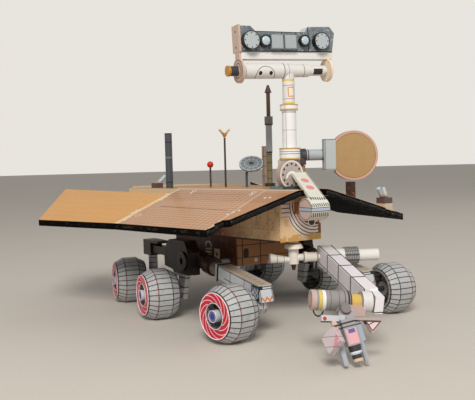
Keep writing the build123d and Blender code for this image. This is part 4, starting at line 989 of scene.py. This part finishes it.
class ROVER_OT_head(bpy.types.Operator):
    """Print the camera bar"""
    bl_idname = "rover.head"
    bl_label = "Camera bar"

    def execute(self, context):
        look = context.scene.rover_head
        card = Finish("head_card", look.face)
        along, ahead, high = card.axes(PIVOT, HEAD_X, HEAD_F, HEAD_UP)
        card.shade(0.84 + 0.32 * card.noise(2.2))
        card.ink((card.noise(0.9, 2) > 0.62) * 0.6, (196, 206, 212))
        card.ink((card.noise(1.1, 2) < 0.38) * 0.6, (70, 76, 82))
        face = ahead > 2.3
        for start, end in SEAMS:
            card.ink(stroke(along, high, start, end, 0.4) & face, (20, 20, 22))
        card.ink((high > 16.3) & (ahead < 2.3), (206, 206, 204))
        for a, z, radius, reach in LENSES:
            card.ink(disc(along, high, a, z, radius + 0.05) & (ahead > 2.5), (22, 22, 24))
            if radius > DISC_LEAST:
                top = disc(along, high, a, z, radius - 0.25) & (ahead > reach - 0.1)
                card.ink(top, look.eye)
                angle = card.math("ARCTAN2", along - a, high - z)
                bolts = near(distance(along, high, a, z), radius - 0.85, 0.25) & rules(angle, 0.7854, 0.16)
                card.ink(bolts & top, (60, 64, 68))
            else:
                card.ink(disc(along, high, a, z, radius - 0.6) & (ahead > reach - 0.1), look.lens)
        for middle in SQUARE_BOXES:
            a, b = middle - 3.1, middle + 3.1
            card.ink(within(along, high, (a, b), (8.8, 15.4)) & (ahead > 2.5), (120, 128, 132))
            card.ink(within(along, high, (a + 0.4, b - 0.4), (9.3, 14.9)) & (ahead > 4.0), (172, 180, 184))
        card.ink(high < 7.9, (232, 232, 232))
        card.ink(along < -23.55, (206, 182, 166))
        rings = ring(ahead, high, 0, 0, 4.6, 0.4) | ring(ahead, high, 0, 0, 3.2, 0.4)
        card.ink((along < -23.0) & (high < 7.9) & rings, (140, 96, 76))
        plate_end = (along < -23.55) & (high > 8.4)
        holes = disc(ahead, high, -0.5, 10.0, 0.5) | disc(ahead, high, -0.5, 16.6, 0.5)
        card.ink(plate_end & holes, (60, 48, 44))
        card.ink((along > 19.0) & (high < 7.0), (236, 222, 204))
        card.ink((along > 19.0) & ring(ahead, high, 0, 0, 4.7, 0.4), (232, 168, 104))
        dress(card.close(rough=0.45, coat=0.1), "camera_bar")
        self.fittings(look)
        return {"FINISHED"}

    def fittings(self, look):
        """Dark rims, bolt heads on the discs and the end plate, domes on the small lenses."""
        dark = Finish("lens_rim", (26, 26, 28)).close(rough=0.35, coat=0.2)
        steel = Finish("bolt_head", (70, 74, 78)).close(rough=0.35, coat=0.3)
        glass = Finish("lens_dome", look.lens).close(rough=0.12, coat=0.9, gloss=0.5)
        rims, bolts, domes = [], [], []
        for a, z, radius, reach in LENSES:
            centre = PIVOT + HEAD_X * a + HEAD_UP * z + HEAD_F * reach
            rims.append(hoop(centre, HEAD_F, radius - 0.1, 0.2))
            if radius > DISC_LEAST:
                turns = np.arange(8) * np.pi / 4
                bolts += [turned(centre + (radius - 0.85) * (np.cos(t) * HEAD_UP + np.sin(t) * HEAD_X),
                                 HEAD_F, BOLT, 8) for t in turns]
            else:
                domes.append(turned(centre, HEAD_F, [(0.0, radius - 0.5), (0.35, radius - 0.9), (0.6, 0.6),
                                                     (0.66, 0.0)], 24))
        bolts += [turned(PIVOT + HEAD_X * -24.6 + HEAD_F * -0.5 + HEAD_UP * z, -HEAD_X, BOLT, 8)
                  for z in (10.0, 16.6)]
        piece("lens_rims", *joined(rims), "camera_bar", dark, "grey_card")
        piece("bolt_heads", *joined(bolts), "camera_bar", steel, "grey_card")
        piece("lens_domes", *joined(domes), "camera_bar", glass, "grey_card")


# Strip, drum, antennas, pins and tube boxes

# Heights past the top and below the foot of every piece here
TOP = 99.0
BASE = -9.0
STRIP_TOP = (1.4, -43.6, 66.8)
STRIP_FOOT = (-1.4, -61.0, 55.2)
DRUM = (0, -58.4, 51.2)
PANEL_X = 19.8
SUNDIAL = (6.4, 2.0, DECK_TOP + 11.6)
SUNDIAL_FACING = (-0.35, -0.5, 0.8)


def print_strip(look):
    top, foot = spot(*STRIP_TOP), spot(*STRIP_FOOT)
    card = Finish("strip_card", look.strip)
    down, across = card.axes(top, unit(foot - top), unit((1.0, -0.16, 0.0)))
    edge = abs(across)
    card.shade(0.93 + 0.14 * card.noise(4.0))
    card.ink(near(edge, 3.8, 0.16), (120, 116, 110))
    ovals = disc(down, across * 0.8, 6.6, 0.2, 1.6) | disc(down, across * 0.8, 12.0, 0.2, 1.6)
    card.ink(ovals, (226, 142, 148))
    card.ink(near(down, 20.2, 0.9) & rules(across, 1.1, 0.6) & (edge < 3.6), (30, 28, 28))
    dress(card.close(rough=0.5), "deployment_strip")


def print_drum():
    card = Finish("drum_card", (206, 200, 190))
    x, y, z = card.plan(*DRUM)
    end = abs(x + 1.8) > 4.72
    card.ink(end, (206, 184, 174))
    card.ink(~end & (z > 0.6), (222, 224, 214))
    card.ink(near(z, 0.0, 0.7), (176, 190, 206))
    card.ink(near(abs(z), 0.75, 0.14), (70, 66, 70))
    card.ink(end & ring(y, z, 0, 0, 4.2, 0.3), (120, 96, 84))
    comb = ~end & bands(z, (-2.2, 0.9), (1.9, 0.7)) & (y < 0)
    card.ink(comb & rules(x + z * 0.5, 1.1, 0.5), (36, 32, 32))
    card.ink(y > 4.0, (166, 104, 60))
    dress(card.close(rough=0.42, coat=0.1), "deployment_drum")


def print_rod():
    card = Finish("rod_card", (170, 174, 178))
    z = card.above(DECK_TOP)
    card.ink(z < 17.0, (134, 128, 96))
    card.ink((z < 17.0) & rules(z, 4.0, 0.4), (84, 78, 56))
    card.ink(z < 1.7, (60, 52, 44))
    card.ink(near(z, 33.1, 2.1), (120, 118, 116))
    card.ink(z > 35.3, (88, 66, 46))
    card.ink(z > 47.2, (70, 50, 36))
    card.ink(bands(z, (17.2, 0.4), (31.2, 0.3)), (50, 48, 48))
    dress(card.close(rough=0.45), "rod_antenna")


def print_panel():
    card = Finish("panel_card", (206, 186, 172))
    x, z = card.axes(spot(PANEL_X, 0, DECK_TOP), (1, 0, 0), UP)
    card.ink(near(abs(x), 1.9, 0.2) | rules(z, 5.1, 0.3), (130, 108, 96))
    dress(card.close(rough=0.5), "upright_panel")


def print_low_gain():
    dark = [(2.7, 3.3, (40, 42, 46)), (23.7, 24.3, (40, 42, 46)), (28.2, TOP, (40, 42, 46))]
    banded("low_gain_antenna", DECK_TOP, (74, 80, 86), dark + [(15.6, 16.4, (120, 126, 130))], coat=0.1)


def print_ball(look):
    banded("ball_pin", DECK_TOP, (70, 54, 44), [(9.9, TOP, look.ball)], rough=0.35, coat=0.3)


def print_vane():
    banded("vane_pin", DECK_TOP, (70, 54, 44), [
        (25.4, TOP, (214, 190, 140)), (25.8, 27.8, (206, 120, 50)), (28.9, TOP, (226, 206, 120))])


def print_sundial():
    facing = unit(SUNDIAL_FACING)
    card = Finish("sundial_card", (142, 152, 158))
    across = unit(np.cross(UP, facing))
    u, v, off = card.axes(spot(*SUNDIAL), across, np.cross(facing, across), facing)
    radius = distance(u, v)
    angle = card.math("ARCTAN2", v, u)
    face = (abs(off) < 0.6) & (radius < 6.2)
    card.ink(face & rules(angle, 0.5236, 0.07), (58, 64, 70))
    card.ink(face & (ring(u, v, 0, 0, 5.7, 0.4) | ring(u, v, 0, 0, 3.4, 0.22)), (206, 212, 216))
    card.ink(face & (radius < 1.3), (60, 66, 72))
    card.ink(~face & (off < -0.7), (80, 84, 88))
    dress(card.close(rough=0.45), "sundial")


def print_tube_boxes(look):
    for side_name, foot, tip in (("port", 50.5, 4.0), ("starboard", DECK_TOP, 3.0)):
        banded("tube_box_" + side_name, foot, look.tube, [
            (BASE, tip - 0.3, (96, 78, 76)), (BASE, tip - 3.6, (206, 190, 166)),
            (tip - 0.15, tip + 0.55, (196, 160, 116)), (tip + 4.6, TOP, (236, 204, 180))])


class ROVER_OT_small_parts(bpy.types.Operator):
    """Print the strip, drum, antennas, pins and tube boxes"""
    bl_idname = "rover.small_parts"
    bl_label = "Strip, antennas and pins"

    def execute(self, context):
        look = context.scene.rover_small
        print_strip(look)
        print_drum()
        print_rod()
        print_panel()
        print_low_gain()
        print_ball(look)
        print_vane()
        print_sundial()
        print_tube_boxes(look)
        return {"FINISHED"}


# Dish

DISH_REACH = 24.95
DISH_DROP = 0.7
DISH_EDGE = 11.35


def print_dish(look):
    card = Finish("dish_card", look.face)
    along, ahead, high = card.axes(DISH_PIVOT, DISH_E, DISH_F, UP)
    radius = distance(along, high, DISH_REACH, -DISH_DROP)
    card.shade(0.94 + 0.12 * card.noise(5.0))
    card.ink(near(radius, 11.0, 0.35) & (ahead > 1.0), look.rim)
    card.ink(radius > 11.3, look.rim)
    card.ink(near(radius, 10.4, 0.12), (140, 104, 70))
    card.ink(ahead < 0.9, (48, 38, 34))
    card.ink(ahead < -1.1, (30, 26, 26))
    dress(card.close(rough=0.5), "dish")
    rim = Finish("dish_rim", look.rim).close(rough=0.5)
    middle = DISH_PIVOT + DISH_E * DISH_REACH - UP * DISH_DROP + DISH_F
    piece("dish_edge", *hoop(middle, DISH_F, DISH_EDGE, 0.3, 48), "dish", rim, "dish_card")


def print_bracket(look):
    card = Finish("dish_bracket_card", look.bracket)
    along, high = card.axes(DISH_PIVOT, DISH_E, UP)
    card.ink(near(abs(high), 6.9, 0.16) | near(along, 11.0, 0.16), (110, 116, 120))
    dress(card.close(rough=0.5), "dish_bracket")


def print_gimbal():
    card = Finish("gimbal_card", (176, 186, 192))
    along, high = card.axes(DISH_PIVOT, DISH_E, UP)
    card.ink(along < 2.3, (74, 72, 74))
    card.ink(bands(along, (9.8, 0.3), (3.0, 0.3)), (90, 96, 100))
    card.ink(high < -4.0, (60, 56, 56))
    dress(card.close(rough=0.45), "dish_gimbal")


def print_post():
    card = Finish("post_card", (176, 140, 104))
    z = card.above(DECK_TOP)
    card.ink(rules(z, 3.3, 0.5), (90, 66, 48))
    dress(card.close(rough=0.5), "dish_post")


def print_rest():
    card = Finish("rest_card", (62, 44, 36))
    z = card.above(DECK_TOP)
    card.ink((card.noise(1.8, 2) > 0.62) * 0.7, (176, 104, 52))
    card.ink(z > 1.6, (44, 34, 30))
    dress(card.close(rough=0.5), "dish_rest")


class ROVER_OT_dish(bpy.types.Operator):
    """Print the dish, its bracket, gimbal, post and rest"""
    bl_idname = "rover.dish"
    bl_label = "Dish"

    def execute(self, context):
        look = context.scene.rover_dish
        print_dish(look)
        print_bracket(look)
        print_gimbal()
        print_post()
        print_rest()
        return {"FINISHED"}


# Arm

TOOL_TILT = np.radians(16.0)
UPPER_ARM_BANDS = (12.0, 27.0, 42.0)


def print_shoulder_mount():
    banded("shoulder_mount", 0.0, (238, 232, 222), [(34.85, 35.55, (190, 140, 60))], rough=0.5)


def print_shoulder():
    card = Finish("shoulder_card", (234, 228, 220))
    e, u = card.axes(SHOULDER, ARM_E, UP)
    card.ink(bands(e, (-11.0, 0.4), (4.5, 0.2), (10.6, 0.3)), (150, 142, 134))
    card.ink(bands(e, (-7.6, 0.14), (-4.4, 0.1)), (140, 136, 130))
    card.ink((u < -2.9) & near(e, 0.0, 1.6), (70, 46, 32))
    card.ink((u > 4.4) & near(u, 6.4, 0.3), (196, 188, 178))
    dress(card.close(rough=0.48, coat=0.08), "shoulder_link")


def print_upper_arm(look):
    card = Finish("upper_arm_card", look.link)
    along, high, across = card.axes(SHOULDER + ARM_E * LINK_SIDE, LINK, LINK_UP, ARM_E)
    card.shade(0.95 + 0.1 * card.noise(6.0))
    sway = across - (along + 3.8) * 0.0535
    beam = (abs(sway) < 3.6) & (along > -3.8)
    for where in UPPER_ARM_BANDS:
        card.ink(near(along, where, 0.5) & beam, (48, 46, 48))
    card.ink(beam & near(sway, -2.5, 0.25) & (high > 2.4), (26, 26, 28))
    card.ink(beam & (sway > 2.75), (52, 60, 52))
    card.ink(beam & near(high, -3.0, 0.2), (60, 58, 60))
    side_tube = (across > 3.6) & (along < 6.0) & (along > -6.0)
    card.ink(side_tube, (238, 236, 232))
    sleeve = near(across, 11.2, 3.2) & side_tube
    card.ink(sleeve, (168, 168, 166))
    card.ink(sleeve & (rules(across, 0.8, 0.3) | rules(along, 0.9, 0.3)), (84, 84, 84))
    card.ink(near(across, 4.1, 0.3) & side_tube, (90, 84, 80))
    dress(card.close(rough=0.48, coat=0.06), "upper_arm")


def print_forearm(look):
    card = Finish("forearm_card", (224, 222, 222))
    e, f, u = card.axes(ELBOW, ELBOW_E, ARM_F, ELBOW_U)
    radius = distance(f, u)
    knuckle = abs(e) < 2.25
    card.ink(knuckle & ring(f, u, 0, 0, 2.9, 0.35), (120, 118, 120))
    card.ink(knuckle & near(abs(e), 2.0, 0.2), (100, 98, 100))
    card.ink(near(e, -4.1, 1.85), look.gold)
    barrel = e < -5.9
    card.ink(barrel & (radius > 3.0), look.tube)
    card.ink(barrel & bands(e, (-8.4, 0.16), (-10.6, 0.1), (-13.6, 0.1)), (90, 86, 88))
    card.ink(near(e, -17.2, 0.6), (222, 196, 110))
    card.ink(near(e, -15.9, 0.6), (240, 240, 240))
    card.ink(bands(e, (-7.0, 0.35), (-6.2, 0.2)), (50, 48, 50))
    card.ink(e < -18.6, (200, 176, 166))
    card.ink((e < -20.2) & ring(f, u, 0, 0, 2.5, 0.4), (120, 92, 84))
    card.ink((radius > 3.9) & (u < 0), (212, 186, 178))
    dress(card.close(rough=0.45, coat=0.08), "forearm")
    angle = np.linspace(0.15, np.pi - 0.15, 18)[:, None]
    loop = (ELBOW + ELBOW_E * (-17.6 + 1.6 * np.cos(angle)) - ELBOW_U * (2.9 + 2.6 * np.sin(angle))
            + ARM_F * (1.4 + 1.2 * np.cos(angle)))
    wire = Finish("loop_wire", (44, 38, 36)).close(rough=0.4)
    piece("wire_loop", *tube(loop, 0.28, 8), "forearm", wire, "arm_card")


def print_wrist():
    card = Finish("wrist_card", (132, 126, 128))
    card.shade(0.9 + 0.2 * card.noise(2.0))
    dress(card.close(rough=0.6), "wrist")


class ROVER_OT_arm(bpy.types.Operator):
    """Print the instrument arm"""
    bl_idname = "rover.arm"
    bl_label = "Arm"

    def execute(self, context):
        look = context.scene.rover_arm
        print_shoulder_mount()
        print_shoulder()
        print_upper_arm(look)
        print_forearm(look)
        print_wrist()
        return {"FINISHED"}


def print_turret(look):
    card = Finish("turret_card", look.plate)
    a, u = card.axes(WRIST, ELBOW_E, TURRET_U)
    card.ink((distance(a, u) < 2.45) & (u > -2.2), (132, 126, 128))
    left = (a < -0.2) & (u < -2.4)
    card.ink(left, (198, 202, 210))
    card.ink(left & near(u, -4.7, 0.2), (70, 66, 70))
    card.ink(left & disc(a, u, -7.2, -3.7, 0.7), (196, 60, 56))
    truss = u < -3.9
    card.ink(truss & (a > 4.0), (226, 204, 202))
    lines = stroke(a, u, (6.6, -4.0), (9.1, -7.6), 0.4) | stroke(a, u, (12.2, -4.0), (9.1, -7.6), 0.4)
    lines = lines | stroke(a, u, (7.6, -5.6), (10.6, -4.0), 0.35) | near(u, -4.3, 0.25)
    card.ink(truss & (a > 4.0) & lines, (92, 56, 60))
    card.ink((u > -4.0) & (a > 3.0), (178, 164, 160))
    dress(card.close(rough=0.48), "turret")


def print_grinder():
    across_axis = ELBOW_E * np.cos(TOOL_TILT) + TURRET_U * np.sin(TOOL_TILT)
    down_axis = ELBOW_E * np.sin(TOOL_TILT) - TURRET_U * np.cos(TOOL_TILT)
    top = WRIST + ELBOW_E * -0.2 + TURRET_U * -3.2
    card = Finish("grinder_card", (160, 160, 166))
    a, d, f = card.axes(top, across_axis, down_axis, TURRET_F)
    patch = within(a, d, (-1.9, 1.9), (4.0, 9.2)) & (f > 7.0)
    card.ink(patch, (232, 178, 184))
    card.ink((patch & rules(a, 1.3, 0.3)) * 0.3, (222, 140, 150))
    card.ink(patch & within(a, d, (-1.0, 1.4), (4.2, 5.6)), (96, 104, 160))
    prong = abs(a) > 3.3
    card.ink(prong, (168, 176, 190))
    card.ink(prong & (a < 0.0) & (d < 4.0), (226, 190, 170))
    card.ink(bands(d, (1.9, 0.3), (3.2, 0.2)), (56, 54, 58))
    bit = (abs(a) < 2.3) & (d > 9.75)
    card.ink(bit, (56, 52, 54))
    card.ink(bit & near(d, 12.3, 0.5), (218, 226, 240))
    card.ink(bit & (d > 14.2), (214, 190, 160))
    dress(card.close(rough=0.45, coat=0.06), "turret_grinder")


def print_side_box():
    card = Finish("side_box_card", (206, 194, 198))
    a, u, f = card.axes(WRIST, ELBOW_E, TURRET_U, TURRET_F)
    card.ink(rules(a - f, 2.6, 0.6), (214, 150, 160))
    card.ink(rules(u, 3.4, 0.2), (130, 112, 120))
    dress(card.close(rough=0.5), "turret_side_box")


class ROVER_OT_turret(bpy.types.Operator):
    """Print the turret and its tools"""
    bl_idname = "rover.turret"
    bl_label = "Turret"

    def execute(self, context):
        look = context.scene.rover_arm
        print_turret(look)
        print_grinder()
        print_side_box()
        return {"FINISHED"}


# Stage

FLOOR_RINGS = (0.0, 200.0, 600.0, 1500.0, 4000.0, 10000.0)
FLOOR_SPOKES = 64
WARM_WHITE = (1.0, 0.98, 0.95, 1.0)
LAMP_COLOUR = (1.0, 0.96, 0.9)
LAMP_AIM = (0, 0, 0.05)
KEY_PLACE = (-0.417, -0.574, 0.554)
KEY_SIZE = 0.3
FILL_PLACE = (0.75, -0.25, 0.5)
FILL_SIZE = 0.8
FILL_SHARE = 0.14
CAMERA_PLACE = (-178.3, -281.7, 70.5)
CAMERA_TURN = (-31.81, 2.97, -1.46)
FOCAL_LENGTH = 671.0 / 475.0
SENSOR = 36.0


class ROVER_OT_stage(bpy.types.Operator):
    """Set the floor, soft lamps and the camera"""
    bl_idname = "rover.stage"
    bl_label = "Stage"

    def execute(self, context):
        look = context.scene.rover_stage
        scene = context.scene
        self.floor(look)
        self.world(scene, look)
        self.lamp("key_lamp", KEY_PLACE, KEY_SIZE, look.key)
        self.lamp("fill_lamp", FILL_PLACE, FILL_SIZE, FILL_SHARE)
        self.camera(scene)
        scene.view_settings.view_transform = "Standard"
        return {"FINISHED"}

    def floor(self, look):
        """A flat ring grid: radius * (cos t, sin t), closed at the middle."""
        radius = np.array(FLOOR_RINGS)
        angle = np.arange(FLOOR_SPOKES) * 2 * np.pi / FLOOR_SPOKES
        points = np.stack([radius[:, None] * np.cos(angle), radius[:, None] * np.sin(angle),
                           np.zeros((len(radius), FLOOR_SPOKES))], -1).reshape(-1, 3)
        card = Finish("floor_finish", look.floor)
        card.shade(0.97 + 0.06 * card.noise(40.0))
        faces = grid_faces(len(radius), FLOOR_SPOKES)
        shape("floor", points, faces, card.close(rough=0.75), closed=False)

    def world(self, scene, look):
        world = bpy.data.worlds.new("studio")
        world.use_nodes = True
        tree = world.node_tree
        tree.nodes.clear()
        rays = add_node(tree, "ShaderNodeLightPath", {}, {}).outputs
        seen = rays["Is Camera Ray"]
        for kind in ("Is Glossy Ray", "Is Transmission Ray"):
            seen = add_node(tree, "ShaderNodeMath", {"operation": "MAXIMUM"},
                            {0: seen, 1: rays[kind]}).outputs[0]
        light = add_node(tree, "ShaderNodeBackground", {}, {0: WARM_WHITE, 1: look.sky})
        shown = add_node(tree, "ShaderNodeBackground", {}, {0: look.background})
        mix = add_node(tree, "ShaderNodeMixShader", {},
                       {0: seen, 1: light.outputs[0], 2: shown.outputs[0]})
        add_node(tree, "ShaderNodeOutputWorld", {}, {0: mix.outputs[0]})
        scene.world = world

    def lamp(self, name, place, size, share):
        """A square lamp that lights a plain white card to the given share at the model."""
        data = bpy.data.lights.new(name, "AREA")
        data.size = size
        place = np.array(place)
        data.energy = share * np.pi ** 2 * float(np.dot(place, place))
        data.color = LAMP_COLOUR
        thing = bpy.data.objects.new(name, data)
        thing.location = place + LAMP_AIM
        back = unit(place)
        right = unit(np.cross(UP, back))
        self.turn(thing, right, np.cross(back, right), back)
        bpy.context.scene.collection.objects.link(thing)

    def turn(self, thing, right, up, back):
        place = thing.location.copy()
        thing.matrix_world = Matrix([[*map(float, row), 0.0] for row in np.stack([right, up, back], 1)]
                                    + [[0, 0, 0, 1]])
        thing.location = place

    def camera(self, scene):
        data = bpy.data.cameras.new("camera")
        data.lens = FOCAL_LENGTH * SENSOR
        data.sensor_width = SENSOR
        data.clip_start = 0.01
        thing = bpy.data.objects.new("camera", data)
        azimuth, elevation, roll = np.radians(CAMERA_TURN)
        back = np.array((np.sin(azimuth) * np.cos(elevation), -np.cos(azimuth) * np.cos(elevation),
                         np.sin(elevation)))
        right = unit(np.cross(-back, UP))
        up = np.cross(right, -back)
        turned_right = np.cos(roll) * right + np.sin(roll) * up
        turned_up = -np.sin(roll) * right + np.cos(roll) * up
        thing.location = spot(*CAMERA_PLACE) * 0.001
        self.turn(thing, turned_right, turned_up, back)
        scene.collection.objects.link(thing)
        scene.camera = thing


# Add-on

class ROVER_PT_model(bpy.types.Panel):
    """Lists the steps that dress the model"""
    bl_label = "Rover"
    bl_idname = "ROVER_PT_model"
    bl_space_type = "VIEW_3D"
    bl_region_type = "UI"
    bl_category = "Rover"

    def draw(self, context):
        for group, steps in STEPS.items():
            box = self.layout.box()
            for step in steps:
                box.operator(step.bl_idname)
            look = getattr(context.scene, "rover_" + group)
            for key in look.__annotations__:
                box.prop(look, key)


GROUPS = {
    "deck": DeckPrint, "body": BodyPrint, "suspension": SuspensionPrint, "wheels": WheelPrint,
    "mast": MastPrint, "head": HeadPrint, "small": SmallPrint, "dish": DishPrint, "arm": ArmPrint,
    "stage": StageLook,
}
STEPS = {
    "stage": [ROVER_OT_stage],
    "deck": [ROVER_OT_deck],
    "body": [ROVER_OT_body],
    "suspension": [ROVER_OT_suspension],
    "wheels": [ROVER_OT_wheels],
    "mast": [ROVER_OT_mast],
    "head": [ROVER_OT_head],
    "small": [ROVER_OT_small_parts],
    "dish": [ROVER_OT_dish],
    "arm": [ROVER_OT_arm, ROVER_OT_turret],
}
CLASSES = [*GROUPS.values(), *(step for steps in STEPS.values() for step in steps), ROVER_PT_model]


def register():
    for kind in CLASSES:
        bpy.utils.register_class(kind)
    for group, kind in GROUPS.items():
        setattr(bpy.types.Scene, "rover_" + group, PointerProperty(type=kind))


def unregister():
    for group in GROUPS:
        delattr(bpy.types.Scene, "rover_" + group)
    for kind in reversed(CLASSES):
        bpy.utils.unregister_class(kind)


def main():
    register()
    for steps in STEPS.values():
        for step in steps:
            getattr(bpy.ops.rover, step.bl_idname.split(".")[1])()


if __name__ == "__main__":
    main()
